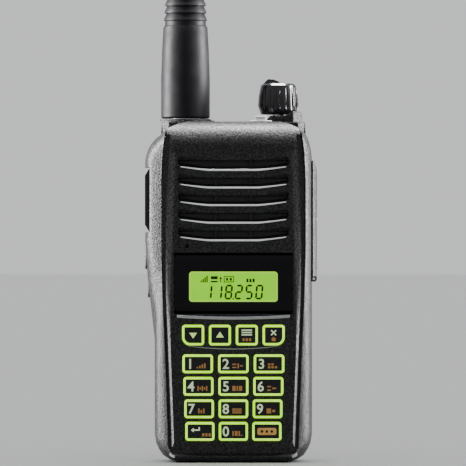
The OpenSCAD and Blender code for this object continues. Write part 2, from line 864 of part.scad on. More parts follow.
// Release button in the base
module battery_latch() {
    color(dark) {
        block([-6, plate_front + 0.55, 0.4], [6, plate_front + 1.45, 3.6]);
        block([-4, plate_front + 0.75, 3.5], [4, plate_front + 1.25, 3.9]);
    }
}

// ---- Battery pack ----

module rail_pocket(s, z) {
    block([s * rail_x - stem_w / 2 - gap, plate_rear, z - 0.4],
          [s * rail_x + stem_w / 2 + gap, plate_rear + 1.4, z + rail_length + pack_travel + 0.4]);
    block([s * rail_x - head_w / 2 - gap, plate_rear + 1.0, z - 0.4],
          [s * rail_x + head_w / 2 + gap, plate_rear + 2.5, z + rail_length + pack_travel + 0.4]);
    block([s * rail_x - head_w / 2 - gap, plate_rear, z + pack_travel - 0.4],
          [s * rail_x + head_w / 2 + gap, plate_rear + 2.5, z + rail_length + pack_travel + 0.4]);
}

module pack_shape(inset) {
    polygon(both_sides([
        [pack_w - 7 - inset, pack_base + inset], [pack_w - 2.6 - inset, 2.2 + inset],
        [pack_w - inset, 7], [pack_w - inset, pack_top - 1.4 - inset],
        [pack_w - 1.4 - inset, pack_top - inset]
    ]));
}

// Inner lid of the pack with the rail pockets
module battery_cover() {
    y0 = plate_rear + gap;
    color(shell) difference() {
        slab(y0, y0 + lid_depth) pack_shape(0);
        for (s = [-1, 1], z = [rail_low_z, rail_high_z]) rail_pocket(s, z);
        block([-5.5, y0 - cut, notch_z - 0.1], [5.5, y0 + 1.7, notch_z + 1.9]);
        for (i = terminals)
            block([i * terminal_pitch - terminal_w / 2 - 0.1, y0 - cut, terminal_low_z],
                  [i * terminal_pitch + terminal_w / 2 + 0.1, y0 + 0.6, terminal_high_z]);
    }
}

// Outer shell of the pack
module battery_case() {
    y0 = plate_rear + gap + lid_depth + fit;
    color(shell) difference() {
        intersection() {
            slab(y0, back) pack_shape(0);
            across(-half_w, half_w) polygon([
                [y0, 0], [back - 3, 0], [back - 0.9, 1.6], [back, 5], [back, pack_top - 3],
                [back - 1.2, pack_top - 0.4], [back - 2.4, pack_top], [y0, pack_top]
            ]);
            linear_extrude(height = pack_top) polygon([
                [-pack_w, y0], [-pack_w, back - 3.4], [-pack_w + 0.9, back - 1.2],
                [-pack_w + 3, back], [pack_w - 3, back], [pack_w - 0.9, back - 1.2],
                [pack_w, back - 3.4], [pack_w, y0]
            ]);
        }
        block([-pack_w + 2, y0 - cut, 8], [pack_w - 2, back - 1.4, pack_top - 2]);
        // finger ribs near the top
        for (i = [0:5]) block([-9, back - 0.4, pack_top - 12 + i * 1.6],
            [9, back + cut, pack_top - 11.2 + i * 1.6]);
    }
}

module battery_cells() {
    y0 = plate_rear + gap + lid_depth + 0.4;
    color([0.2, 0.35, 0.6]) for (s = [-1, 1])
        block([s > 0 ? 0.6 : 2.6 - pack_w, y0, 9],
              [s > 0 ? pack_w - 2.6 : -0.6, back - 1.8, pack_top - 6]);
}

module battery_contacts() {
    color(brass) for (i = terminals)
        block([i * terminal_pitch - terminal_w / 2, plate_rear + gap + 0.1, terminal_low_z + 0.1],
              [i * terminal_pitch + terminal_w / 2, plate_rear + gap + 0.55, terminal_high_z - 0.1]);
}

// ---- Belt clip ----

module clip_bracket() {
    ear_x = clip_w + 0.4;
    ear_w = bracket_w - ear_x;
    color(dark) difference() {
        union() {
            block([-bracket_w, back + 0.05, clip_pin_z - 7], [bracket_w, back + 1.7, clip_pin_z + 8]);
            for (x = [-bracket_w, ear_x]) {
                block([x, back + 1.6, clip_pin_z - 3], [x + ear_w, clip_pin_y, clip_pin_z + 3]);
                rod_x(clip_pin_y, clip_pin_z, 2.4, x, x + ear_w);
            }
        }
        rod_x(clip_pin_y, clip_pin_z, clip_pin_r + 0.02, -bracket_w - cut, bracket_w + cut);
        for (s = [-1, 1]) {
            rod_y(s * bracket_screw_x, bracket_screw_z, 1.1, back, back + 3);
            rod_y(s * bracket_screw_x, bracket_screw_z, 1.9, back + 0.9, back + 3);
        }
    }
}

module belt_clip() {
    y0 = clip_pin_y + 1.0;
    y1 = y0 + clip_arm;
    low = clip_pin_z - clip_length;
    color(shell) difference() {
        union() {
            across(-clip_w, clip_w) polygon([
                [y0, clip_pin_z + 9], [y0 + 0.4, clip_pin_z + 10.4], [y1, clip_pin_z + 10.4],
                [y1 + 0.5, clip_pin_z], [y1, low + 3], [y1 - 0.8, low + 0.8],
                [y1 - 2.2, low], [back + 1.6, low + 0.6], [back + 0.9, low + 2.4],
                [back + 1.6, low + 4.2], [y0 - 0.6, low + 5.6], [y0, low + 7.4]
            ]);
            rod_x(clip_pin_y, clip_pin_z, 2.2, -clip_w, clip_w);
        }
        rod_x(clip_pin_y, clip_pin_z, clip_pin_r + fit, -bracket_w, bracket_w);
        // room for the spring and its long leg
        block([-2.9, back, clip_pin_z - 2.6], [2.9, clip_pin_y + coil_r + wire_r + gap, clip_pin_z + 2.6]);
        block([-1.5, back, clip_pin_z - 9], [1.5, y0 + 0.5, clip_pin_z]);
    }
}

// Torsion spring around the pin: coils, one leg on the arm, one on the bracket
module clip_spring() {
    color(steel) {
        for (i = [-2:2]) translate([i * coil_pitch, clip_pin_y, clip_pin_z]) rotate([0, 90, 0])
            rotate_extrude() translate([coil_r, 0]) circle(r = wire_r);
        block([-coil_pitch - 0.2, clip_pin_y + 0.85, clip_pin_z - 8.4],
              [-coil_pitch + 0.2, clip_pin_y + 1.15, clip_pin_z - 0.75]);
        block([coil_pitch - 0.2, clip_pin_y - coil_r - 0.2, clip_pin_z - 6],
              [coil_pitch + 0.2, clip_pin_y - coil_r + 0.2, clip_pin_z]);
    }
}

// ---- Antenna ----

function ring_r(i) = aerial_r - 0.9 - i * 0.17;

module antenna_sheath() {
    n = antenna_rings;
    z0 = aerial_z + 0.1;
    color(shell) translate([aerial_x, aerial_y, 0]) difference() {
        rotate_extrude() polygon(concat(
            [[0, z0], [aerial_r - 0.4, z0], [aerial_r, z0 + 0.5], [aerial_r, aerial_z + 13],
             [aerial_r - 0.3, aerial_z + 22], [aerial_r - 0.75, ring_base - 0.5],
             [aerial_r - 1.1, ring_base], [aerial_r - 1.3, ring_base + 0.5],
             [aerial_r - 1.3, ring_base + 1.6]],
            [for (i = [0:n - 1], k = [0:2]) let (z = ring_base + 1.7 + i * ring_pitch, r = ring_r(i))
                k == 0 ? [r, z + 0.1] : k == 1 ? [r - 0.1, z + 0.7] : [r - 0.85, z + ring_pitch - 0.1]],
            [[ring_r(n) + 0.1, ring_base + 1.8 + n * ring_pitch],
             [ring_r(n) - 0.2, ring_base + 6 + n * ring_pitch],
             [3.7, aerial_z + antenna_length - 3], [3.3, aerial_z + antenna_length - 1.2],
             [2.2, aerial_z + antenna_length - 0.2], [0, aerial_z + antenna_length]]
        ));
        translate([0, 0, z0 - cut]) cylinder(r = sleeve_r + fit, h = cut + 7.6);
        translate([0, 0, z0 + 6]) cylinder(r = 2.6, h = antenna_length - 12);
    }
}

// Sleeve with two entry slots and two quarter-turn grooves
module antenna_plug() {
    z0 = aerial_z + 0.3;
    lug_half = asin(lug_r / stub_r) + 4;
    color(brass) translate([aerial_x, aerial_y, 0]) difference() {
        translate([0, 0, z0]) cylinder(r = sleeve_r, h = 7.2);
        translate([0, 0, z0 - cut]) cylinder(r = stub_r + fit, h = cut + 6.4);
        for (a = [0, 180]) {
            rotate([0, 0, a - antenna_turn - lug_half]) translate([0, 0, lug_z - lug_r - 0.15])
                rotate_extrude(angle = antenna_turn + 2 * lug_half)
                    translate([stub_r - 0.6, 0]) square([lug_reach - stub_r + 0.8, 2 * lug_r + 0.3]);
            rotate([0, 0, a - antenna_turn]) translate([stub_r - 1.4, -lug_r - 0.15, z0 - cut])
                cube([lug_reach - stub_r + 1.6, 2 * lug_r + 0.3, lug_z + lug_r + 0.15 - z0 + cut]);
        }
    }
}

// Helical radiator on a ferrule
module antenna_coil() {
    z0 = aerial_z + 7.7;
    length = antenna_length - 16;
    color(brass) translate([aerial_x, aerial_y, 0]) {
        translate([0, 0, z0 - 0.1]) cylinder(r = 2.5, h = 3.6);
        translate([0, 0, z0 + 3]) cylinder(r = 0.9, h = length - 3);
        translate([0, 0, z0 + length - 1]) cylinder(r = 2.2, h = 1.5);
        translate([0, 0, z0 + 3.2])
            linear_extrude(height = length - 4, twist = -360 * radiator_turns,
                slices = 12 * radiator_turns, $fn = 6)
                translate([1.85, 0]) circle(r = 0.42);
    }
}

module antenna_connector() {
    color(steel) translate([aerial_x, aerial_y, 0]) {
        difference() {
            union() {
                translate([0, 0, roof - 3.6]) cylinder(r = stub_r, h = stub_top - roof + 3.6);
                translate([0, 0, roof - wall - 2.1]) cylinder(r = flange_r, h = 2);
            }
            translate([0, 0, stub_top - 5]) cylinder(r = 3.4, h = 6);
        }
        translate([0, 0, stub_top - 6]) cylinder(r = 0.7, h = 4.5);
        for (a = [0, 180]) rotate([0, 0, a]) translate([stub_r - 0.5, 0, lug_z])
            rotate([0, 90, 0]) cylinder(r = lug_r, h = lug_reach - stub_r + 0.5);
    }
}

module antenna_gasket() {
    color(steel) translate([aerial_x, aerial_y, top + 0.5 + 0.02]) difference() {
        cylinder(r = aerial_r + 0.4, h = 0.5);
        translate([0, 0, -cut]) cylinder(r = stub_r + 0.3, h = 3);
    }
}

// ---- Volume knob ----

module volume_knob() {
    color(dark) translate([knob_x, knob_y, knob_z]) difference() {
        union() {
            rotate_extrude() polygon([
                [0, 0], [knob_r - 1.1, 0], [knob_r - 0.7, 0.5], [knob_r, 3.0],
                [knob_r - 0.25, 6], [knob_r - 0.85, knob_height - 0.6],
                [knob_r - 1.5, knob_height], [0, knob_height]
            ]);
            // pointer
            translate([0, 1.1, 0]) rotate([90, 0, 0]) linear_extrude(height = 2.2) polygon([
                [-knob_r + 0.9, knob_height - 1], [-3.8, knob_height + 1.1],
                [-3.3, knob_height + 1.5], [-1.6, knob_height + 1.4],
                [0.4, knob_height + 0.6], [0.6, knob_height - 1]
            ]);
        }
        for (i = [0:knob_flutes - 1]) rotate([0, 0, (i + 0.5) * 360 / knob_flutes])
            translate([knob_r + 0.28, 0, -cut]) rotate([0, -2.4, 0])
                cylinder(r = 0.62, h = knob_height + 3, $fn = 24);
        translate([0, 0, -cut]) cylinder(r = shaft_r + fit, h = cut + 8.2);
        translate([0, 0, -cut]) cylinder(r = 4.2, h = cut + 1.2);
    }
}

module volume_shaft() {
    color(steel) translate([knob_x, knob_y, 0]) difference() {
        translate([0, 0, roof - 7]) cylinder(r = shaft_r, h = knob_z + 8 - roof + 7);
        translate([0.9, -3, knob_z + 2]) cube([3, 6, 8]);
    }
}

module volume_pot() {
    color(green) translate([knob_x, knob_y, 0]) difference() {
        union() {
            translate([-5, -5, roof - 12]) cube([10, 10, 8]);
            translate([0, 0, roof - 5]) cylinder(r = 3, h = 6);
        }
        translate([0, 0, roof - 7.2]) cylinder(r = shaft_r + fit, h = 12);
    }
}

module indicator_lens() {
    color([0.95, 0.95, 0.95]) translate([lens_x, lens_y, roof]) {
        translate([0, 0, -2.6]) cylinder(r = 0.9, h = 3);
        translate([0, 0, 0.05]) linear_extrude(height = 0.6) soft_rect(7.2, 2.6, 1.2);
        translate([0, 0, 0.6]) linear_extrude(height = 1.5) soft_rect(4.0, 2.0, 0.9);
    }
}

// ---- Side controls ----

module ptt_button() {
    z0 = talk_z - talk_height / 2;
    z1 = talk_z + talk_height / 2;
    y0 = side_mid - talk_width / 2;
    y1 = side_mid + talk_width / 2;
    x0 = -half_w - talk_proud;
    color(dark) {
        difference() {
            intersection() {
                block([x0, y0, z0], [-inner_w + 0.35, y1, z1]);
                slab(y0, y1) polygon([[x0, z0 + 2.2], [x0, z1 - 2.2], [x0 + 1.3, z1],
                    [-inner_w + 0.4, z1], [-inner_w + 0.4, z0], [x0 + 1.3, z0]]);
            }
            for (i = [0:6]) block([x0 - cut, y0 + 1.4, talk_z - 6.4 + i * 1.95],
                [x0 + 0.35, y1 - 1.4, talk_z - 5.5 + i * 1.95]);
        }
        block([-inner_w + 0.3, y0 - 0.7, z0 - 0.6], [-inner_w + 1.1, y1 + 0.7, z1 + 0.6]);
    }
}

module side_key(k) {
    h = side_key_height(k);
    color(dark) {
        translate([0, side_mid, side_key_z(k)]) {
            across(-half_w - side_key_proud(k), -inner_w + 0.35) soft_rect(5, h, 1.3);
            across(-inner_w + 0.3, -inner_w + 1.1) soft_rect(6.2, h + 1.2, 1.3);
        }
    }
}

module ptt_seal() {
    color([0.2, 0.2, 0.21]) difference() {
        across(seal_x, seal_x + 0.6) translate([side_mid, (talk_z + side_key_z(1)) / 2 + 3.8])
            soft_rect(8.4, 47.6, 2);
        block([seal_x + 0.4, side_mid - 2, talk_z - 6], [seal_x + 1, side_mid + 2, talk_z + 6]);
    }
}

module side_switches() {
    color(green) block([seal_x + 1.9, side_mid - 3.6, side_key_z(1) - 3],
        [seal_x + 2.7, side_mid + 2.4, talk_z + 8]);
    color(steel) for (z = [talk_z, side_key_z(0), side_key_z(1)])
        block([seal_x + 0.9, side_mid - 2, z - 1.6], [seal_x + 1.95, side_mid + 2, z + 1.6]);
}

// ---- Jacks ----

module jack_cover() {
    z1 = cover_low_z + cover_height;
    x0 = half_w - 0.25;
    x1 = half_w + 1.6;
    y0 = cover_y - cover_width / 2;
    y1 = cover_y + cover_width / 2;
    color(shell) difference() {
        union() {
            intersection() {
                slab(y0, y1) polygon([
                    [x0, hinge_z + 0.6], [x0, z1 - 0.4], [x0 + 0.5, z1], [x1 - 0.9, z1 - 0.6],
                    [x1 - 0.2, z1 - 2.4], [x1, z1 - 4.4], [x1, hinge_z + 3.2],
                    [x1 - 0.05, hinge_z]
                ]);
                translate([0, 0, hinge_z]) linear_extrude(height = 60) polygon([
                    [x0, y0], [x0 + 0.5, y0], [x1 - 0.8, y0 + 0.7], [x1 - 0.2, y0 + 1.8],
                    [x1, y0 + 2.8], [x1, y1 - 1.3], [x1 - 0.3, y1 - 0.5],
                    [x0 + 0.9, y1], [x0, y1]
                ]);
            }
            rod_y(hinge_x, hinge_z, hinge_r, y0 + 0.6, y1 - 0.6);
        }
        rod_y(hinge_x, hinge_z, pin_r + fit, y0, y1);
        block([half_w - cut, cover_y - 1.3, hinge_z - 2], [half_w + 4, cover_y + 1.3, hinge_z + 2.2]);
        // fingernail groove
        rod_y(x1 + 0.25, cover_low_z + 20.4, 0.55, y0 - cut, y1 + cut);
        // relief over the socket noses
        rod_x(jack_y, large_jack_z, large_nose_r + 0.4, half_w - 1, half_w + 0.15);
        rod_x(jack_y, small_jack_z, small_nose_r + 0.4, half_w - 1, half_w + 0.15);
    }
}

// Pin of the jack cover and pin of the belt clip
module hinge_pins() {
    color(steel) {
        rod_y(hinge_x, hinge_z, pin_r - 0.01, cover_y - cover_width / 2 + 0.7,
            cover_y + cover_width / 2 - 0.7);
        rod_x(clip_pin_y, clip_pin_z, clip_pin_r, -bracket_w, bracket_w);
    }
}

module jack_block() {
    x0 = half_w - 17;
    color(dark) difference() {
        union() {
            block([x0, jack_y - 2.7, small_jack_z - 3.6],
                  [inner_w - gap, jack_y + 2.7, large_jack_z + 4.4]);
            rod_x(jack_y, large_jack_z, large_nose_r, inner_w - 1, half_w - 0.8);
            rod_x(jack_y, small_jack_z, small_nose_r, inner_w - 1, half_w - 0.8);
        }
        rod_x(jack_y, large_jack_z, large_jack_radius, half_w - 14.8, half_w);
        rod_x(jack_y, small_jack_z, small_jack_radius, half_w - 12.8, half_w);
    }
}

// ---- Named digit and function keys ----

module key_down() menu_key(0);
module key_up() menu_key(1);
module key_memory() menu_key(2);
module key_clear() menu_key(3);
module key_1() digit_key(0, 0);
module key_2() digit_key(0, 1);
module key_3() digit_key(0, 2);
module key_4() digit_key(1, 0);
module key_5() digit_key(1, 1);
module key_6() digit_key(1, 2);
module key_7() digit_key(2, 0);
module key_8() digit_key(2, 1);
module key_9() digit_key(2, 2);
module key_enter() digit_key(3, 0);
module key_0() digit_key(3, 1);
module key_function() digit_key(3, 2);
module side_key_upper() side_key(0);
module side_key_lower() side_key(1);

front_case();
rear_chassis();
case_seal();
screws();
display_window();
trim_bar();
speaker_mesh();
speaker_frame();
speaker_cone();
microphone();
keypad_mat();
front_board();
lcd_panel();
lcd_frame();
main_board();
shield_cans();
flex_cable();
key_down();
key_up();
key_memory();
key_clear();
key_1();
key_2();
key_3();
key_4();
key_5();
key_6();
key_7();
key_8();
key_9();
key_enter();
key_0();
key_function();
volume_knob();
volume_shaft();
volume_pot();
indicator_lens();
antenna_sheath();
antenna_plug();
antenna_coil();
antenna_connector();
antenna_gasket();
ptt_button();
side_key_upper();
side_key_lower();
ptt_seal();
side_switches();
jack_cover();
hinge_pins();
jack_block();
battery_cover();
battery_case();
battery_cells();
battery_contacts();
battery_terminals();
battery_latch();
latch_spring();
belt_clip();
clip_bracket();
clip_spring();
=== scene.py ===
"""Looks of the handheld aviation radio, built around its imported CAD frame.

Metres, +Z up, +X to the user's right, keys face -Y. MM turns millimetres into metres.
"""

import json
import math

import bmesh
import bpy
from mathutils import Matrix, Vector

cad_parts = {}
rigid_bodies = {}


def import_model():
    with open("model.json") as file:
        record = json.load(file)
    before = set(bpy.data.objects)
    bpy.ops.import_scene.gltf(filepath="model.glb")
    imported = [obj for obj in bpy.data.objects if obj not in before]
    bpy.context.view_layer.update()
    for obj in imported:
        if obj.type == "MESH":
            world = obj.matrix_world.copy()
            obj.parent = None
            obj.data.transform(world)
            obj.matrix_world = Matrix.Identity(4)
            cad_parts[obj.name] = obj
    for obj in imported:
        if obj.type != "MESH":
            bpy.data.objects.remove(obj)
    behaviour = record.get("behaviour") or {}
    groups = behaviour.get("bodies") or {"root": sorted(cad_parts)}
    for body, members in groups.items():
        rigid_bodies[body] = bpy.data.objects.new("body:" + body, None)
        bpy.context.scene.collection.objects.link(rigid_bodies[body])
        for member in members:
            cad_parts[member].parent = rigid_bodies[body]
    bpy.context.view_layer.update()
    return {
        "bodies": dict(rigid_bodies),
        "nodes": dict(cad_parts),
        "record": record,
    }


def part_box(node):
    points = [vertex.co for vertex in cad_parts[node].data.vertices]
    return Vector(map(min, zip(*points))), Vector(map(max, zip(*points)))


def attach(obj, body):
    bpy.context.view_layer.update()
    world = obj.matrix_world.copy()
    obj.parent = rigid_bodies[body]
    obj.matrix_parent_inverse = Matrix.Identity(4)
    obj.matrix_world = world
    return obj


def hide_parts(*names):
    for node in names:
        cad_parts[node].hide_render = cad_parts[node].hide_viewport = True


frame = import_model()
NODES = frame["nodes"]
BODY_OF = {n: b for b, e in frame["bodies"].items() for n in NODES if NODES[n].parent == e}
MM = 0.001


# ---------------------------------------------------------------- camera and light

PIXEL = 0.324 * MM           # size of one image pixel at the front face
FRAME_PIXELS = 466
VIEW_X = -0.12 * MM
VIEW_Z = 74.5 * MM
DISTANCE = 1.8


def make_camera():
    """Level with the middle of the picture, straight at the keys."""
    front_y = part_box("front_case")[0].y
    data = bpy.data.cameras.new("camera")
    cam = bpy.data.objects.new("camera", data)
    bpy.context.scene.collection.objects.link(cam)
    cam.location = (VIEW_X, front_y - DISTANCE, VIEW_Z)
    cam.rotation_euler = (math.radians(90), 0, 0)
    data.sensor_width = 36.0
    data.lens = data.sensor_width * DISTANCE / (FRAME_PIXELS * PIXEL)
    data.clip_start = 0.02
    data.clip_end = 10
    bpy.context.scene.camera = cam


def area_light(name, place, target, size, power, colour=(1, 1, 1)):
    data = bpy.data.lights.new(name, "AREA")
    data.shape = "RECTANGLE"
    data.size, data.size_y = size
    data.energy = power
    data.color = colour
    lamp = bpy.data.objects.new(name, data)
    bpy.context.scene.collection.objects.link(lamp)
    lamp.location = place
    lamp.rotation_euler = (Vector(target) - Vector(place)).to_track_quat("-Z", "Y").to_euler()
    return lamp


SKY_COLOUR = (0.97, 0.98, 1.0, 1)
SKY_STRENGTH = 0.75
BOX_TARGET = (0, 0, 0.10)
SIDE_BOX = (0.12, 0.42)
TOP_BOX = (0.35, 0.12)


def make_lights():
    """An even pale sky, with a tall soft box on each side and one above."""
    world = bpy.data.worlds.new("studio")
    world.use_nodes = True
    background = world.node_tree.nodes["Background"]
    background.inputs["Color"].default_value = SKY_COLOUR
    background.inputs["Strength"].default_value = SKY_STRENGTH
    bpy.context.scene.world = world
    area_light("left_box", (-0.45, 0.05, 0.17), BOX_TARGET, SIDE_BOX, 17.0)
    area_light("right_box", (0.45, 0.05, 0.17), BOX_TARGET, SIDE_BOX, 15.0)
    area_light("top_box", (0, 0.04, 0.50), BOX_TARGET, TOP_BOX, 15.0)


FLOOR_RADIUS = 30.0


def make_stage():
    """A wide pale round floor."""
    mesh = bpy.data.meshes.new("studio_floor")
    bm = bmesh.new()
    bmesh.ops.create_circle(bm, cap_ends=True, segments=96, radius=FLOOR_RADIUS)
    bm.to_mesh(mesh)
    bm.free()
    floor = bpy.data.objects.new("studio_floor", mesh)
    bpy.context.scene.collection.objects.link(floor)
    floor.data.materials.append(paint_floor())
    # the boxes light the radio alone, and the even sky lights the floor
    lit = bpy.data.collections.new("lit_by_boxes")
    lit.objects.link(floor)
    lit.collection_objects[0].light_linking.link_state = "EXCLUDE"
    for lamp in bpy.context.scene.objects:
        if lamp.type == "LIGHT":
            lamp.light_linking.receiver_collection = lit


# ---------------------------------------------------------------- material helpers

class Tree:
    """Short names for building a node tree on millimetre object coordinates."""

    def __init__(self, name):
        self.material = bpy.data.materials.new(name)
        self.material.use_nodes = True
        self.nodes = self.material.node_tree.nodes
        self.links = self.material.node_tree.links
        self.shader = self.nodes["Principled BSDF"]
        coords = self.nodes.new("ShaderNodeTexCoord")
        scale = self.nodes.new("ShaderNodeVectorMath")
        scale.operation = "SCALE"
        scale.inputs["Scale"].default_value = 1 / MM
        self.links.new(coords.outputs["Object"], scale.inputs[0])
        self.mm = scale.outputs[0]

    def noise(self, scale, detail=3.0, rough=0.55, vector=None):
        n = self.nodes.new("ShaderNodeTexNoise")
        n.inputs["Scale"].default_value = scale
        n.inputs["Detail"].default_value = detail
        n.inputs["Roughness"].default_value = rough
        self.links.new(vector or self.mm, n.inputs["Vector"])
        return n.outputs["Fac"]

    def cells(self, scale):
        n = self.nodes.new("ShaderNodeTexVoronoi")
        n.inputs["Scale"].default_value = scale
        self.links.new(self.mm, n.inputs["Vector"])
        return n.outputs["Distance"]

    def ramp(self, value, stops):
        """stops: [(position, value or colour)]."""
        n = self.nodes.new("ShaderNodeValToRGB")
        elements = n.color_ramp.elements
        while len(elements) < len(stops):
            elements.new(0.5)
        for e, (at, c) in zip(elements, stops):
            e.position = at
            e.color = (c, c, c, 1) if isinstance(c, (int, float)) else (*c, 1)
        self.links.new(value, n.inputs["Fac"])
        return n.outputs["Color"]

    def mix(self, factor, a, b):
        n = self.nodes.new("ShaderNodeMix")
        n.data_type = "RGBA"
        for socket, v in ((n.inputs["Factor"], factor), (n.inputs["A"], a), (n.inputs["B"], b)):
            if isinstance(v, (int, float)):
                socket.default_value = v
            elif isinstance(v, tuple):
                socket.default_value = (*v, 1)
            else:
                self.links.new(v, socket)
        return n.outputs["Result"]

    def maths(self, operation, a, b=None):
        n = self.nodes.new("ShaderNodeMath")
        n.operation = operation
        for socket, v in zip(n.inputs, (a, b)):
            if v is None:
                continue
            if isinstance(v, (int, float)):
                socket.default_value = v
            else:
                self.links.new(v, socket)
        return n.outputs[0]

    def edges(self, radius, low=0.02, high=0.25):
        """1 on sharp edges, 0 on flats, from the difference of the bevelled and true normals."""
        bevel = self.nodes.new("ShaderNodeBevel")
        bevel.samples = 4
        bevel.inputs["Radius"].default_value = radius
        geometry = self.nodes.new("ShaderNodeNewGeometry")
        dot = self.nodes.new("ShaderNodeVectorMath")
        dot.operation = "DOT_PRODUCT"
        self.links.new(bevel.outputs[0], dot.inputs[0])
        self.links.new(geometry.outputs["Normal"], dot.inputs[1])
        turned = self.maths("SUBTRACT", 1.0, dot.outputs["Value"])
        return self.ramp(turned, [(low, 0.0), (high, 1.0)])

    def soft(self, radius):
        """Normal with its sharp edges rounded."""
        bevel = self.nodes.new("ShaderNodeBevel")
        bevel.samples = 4
        bevel.inputs["Radius"].default_value = radius
        return bevel.outputs[0]

    def bump(self, height, strength, distance, normal=None):
        n = self.nodes.new("ShaderNodeBump")
        n.inputs["Strength"].default_value = strength
        n.inputs["Distance"].default_value = distance
        self.links.new(height, n.inputs["Height"])
        if normal:
            self.links.new(normal, n.inputs["Normal"])
        return n.outputs[0]

    def set(self, **sockets):
        names = {
            "colour": "Base Color", "rough": "Roughness", "metal": "Metallic", "ior": "IOR",
            "coat": "Coat Weight", "coat_rough": "Coat Roughness", "normal": "Normal",
            "glow": "Emission Color", "glow_strength": "Emission Strength",
            "glass": "Transmission Weight", "specular": "Specular IOR Level",
            "sheen": "Sheen Weight",
        }
        for key, v in sockets.items():
            socket = self.shader.inputs[names[key]]
            if isinstance(v, (int, float)):
                socket.default_value = v
            elif isinstance(v, tuple):
                socket.default_value = (*v, 1)
            else:
                self.links.new(v, socket)
        return self.material


def moulded(name, colour, rough, grain=2.0, depth=0.09, wear=0.35, worn=(0.04, 0.04, 0.042),
            round_edge=0.25):
    """Black moulded plastic: spark-eroded grain, soft mottling, edges rubbed smooth and paler."""
    t = Tree(name)
    fine = t.noise(grain, 3.0, 0.65)
    pits = t.cells(grain * 0.8)
    height = t.maths("ADD", fine, t.maths("MULTIPLY", pits, 0.55))
    cloud = t.noise(0.09, 2.0)
    rub = t.maths("MULTIPLY", t.edges(0.35 * MM), t.ramp(t.noise(0.7), [(0.35, 0.15), (0.75, 1.0)]))
    base = t.mix(t.ramp(height, [(0.45, 0.0), (1.0, 1.0)]), tuple(c * 0.4 for c in colour),
                 tuple(c * 2.0 for c in colour))
    tone = t.mix(t.maths("MULTIPLY", rub, wear), base, worn)
    roughness = t.maths("ADD", t.maths("MULTIPLY", t.ramp(cloud, [(0.3, 0.0), (0.7, 1.0)]), 0.08),
                        t.maths("SUBTRACT", rough, t.maths("MULTIPLY", rub, 0.12)))
    shine = t.ramp(height, [(0.50, 0.07), (1.0, 0.38)])
    return t.set(colour=tone, rough=roughness, specular=shine,
                 normal=t.bump(height, 0.8, depth * MM, t.soft(round_edge * MM)))


def glossy(name, colour, rough=0.12, coat=0.6, scratches=0.5, specular=0.5):
    """Polished plastic with faint hairline marks."""
    t = Tree(name)
    stretch = t.nodes.new("ShaderNodeMapping")
    stretch.inputs["Scale"].default_value = (0.4, 0.4, 7.0)
    stretch.inputs["Rotation"].default_value = (0.3, 0.4, 0.2)
    t.links.new(t.mm, stretch.inputs["Vector"])
    hair = t.ramp(t.noise(1.6, 5.0, 0.7, stretch.outputs[0]), [(0.60, 0.0), (0.66, 1.0)])
    smear = t.ramp(t.noise(0.12, 3.0), [(0.35, 0.0), (0.7, 1.0)])
    rub = t.edges(0.25 * MM)
    roughness = t.maths("ADD", rough, t.maths("ADD", t.maths("MULTIPLY", hair, 0.05 * scratches),
                        t.maths("MULTIPLY", smear, 0.07)))
    paler = tuple(min(1, c * 1.6 + 0.02) for c in colour)
    tone = t.mix(t.maths("MULTIPLY", rub, 0.35), colour, paler)
    return t.set(colour=tone, rough=roughness, coat=coat, coat_rough=0.05, specular=specular,
                 normal=t.bump(hair, 0.05 * scratches, 0.01 * MM))


def rubber(name, colour, rough=0.5, grain=7.0, depth=0.012, specular=0.3):
    """Satin rubber with a very fine skin texture and dusty patches."""
    t = Tree(name)
    skin = t.noise(grain, 4.0, 0.6)
    dust = t.ramp(t.noise(0.22, 4.0, 0.6), [(0.42, 0.0), (0.78, 1.0)])
    tone = t.mix(t.maths("MULTIPLY", dust, 0.25), colour, tuple(c * 1.5 + 0.006 for c in colour))
    tone = t.mix(t.maths("MULTIPLY", t.edges(0.4 * MM), 0.3), tone, tuple(c * 2.2 for c in colour))
    roughness = t.maths("ADD", rough, t.maths("MULTIPLY", dust, 0.12))
    return t.set(colour=tone, rough=roughness, specular=specular,
                 normal=t.bump(skin, 0.5, depth * MM, t.soft(0.25 * MM)))


def metal(name, colour, rough=0.28, grain=(0.3, 6.0, 6.0), depth=0.006):
    """Metal with drawn or brushed lines along one direction."""
    t = Tree(name)
    stretch = t.nodes.new("ShaderNodeMapping")
    stretch.inputs["Scale"].default_value = grain
    t.links.new(t.mm, stretch.inputs["Vector"])
    lines = t.noise(2.2, 4.0, 0.6, stretch.outputs[0])
    stain = t.ramp(t.noise(0.35, 3.0), [(0.3, 0.0), (0.8, 1.0)])
    tone = t.mix(stain, colour, tuple(c * 0.78 for c in colour))
    roughness = t.maths("ADD", rough, t.maths("MULTIPLY", lines, 0.16))
    return t.set(colour=tone, metal=1.0, rough=roughness, normal=t.bump(lines, 0.3, depth * MM))


def paint_floor():
    t = Tree("studio_paper")
    fibre = t.noise(0.8, 3.0)
    return t.set(colour=t.mix(t.ramp(fibre, [(0.3, 0.0), (0.7, 1.0)]), (0.84, 0.84, 0.84),
                 (0.87, 0.87, 0.87)), rough=0.75, normal=t.bump(fibre, 0.05, 0.02 * MM))


def board(name, colour):
    """Circuit board: solder mask over fine copper tracks."""
    t = Tree(name)
    brick = t.nodes.new("ShaderNodeTexBrick")
    brick.inputs["Scale"].default_value = 0.35
    brick.inputs["Mortar Size"].default_value = 0.03
    t.links.new(t.mm, brick.inputs["Vector"])
    tracks = brick.outputs["Fac"]
    tone = t.mix(tracks, colour, tuple(c * 1.7 for c in colour))
    speck = t.ramp(t.noise(1.4, 2.0), [(0.6, 0.0), (0.66, 1.0)])
    tone = t.mix(t.maths("MULTIPLY", speck, 0.6), tone, (0.45, 0.40, 0.22))
    return t.set(colour=tone, rough=0.38, normal=t.bump(tracks, 0.3, 0.02 * MM))


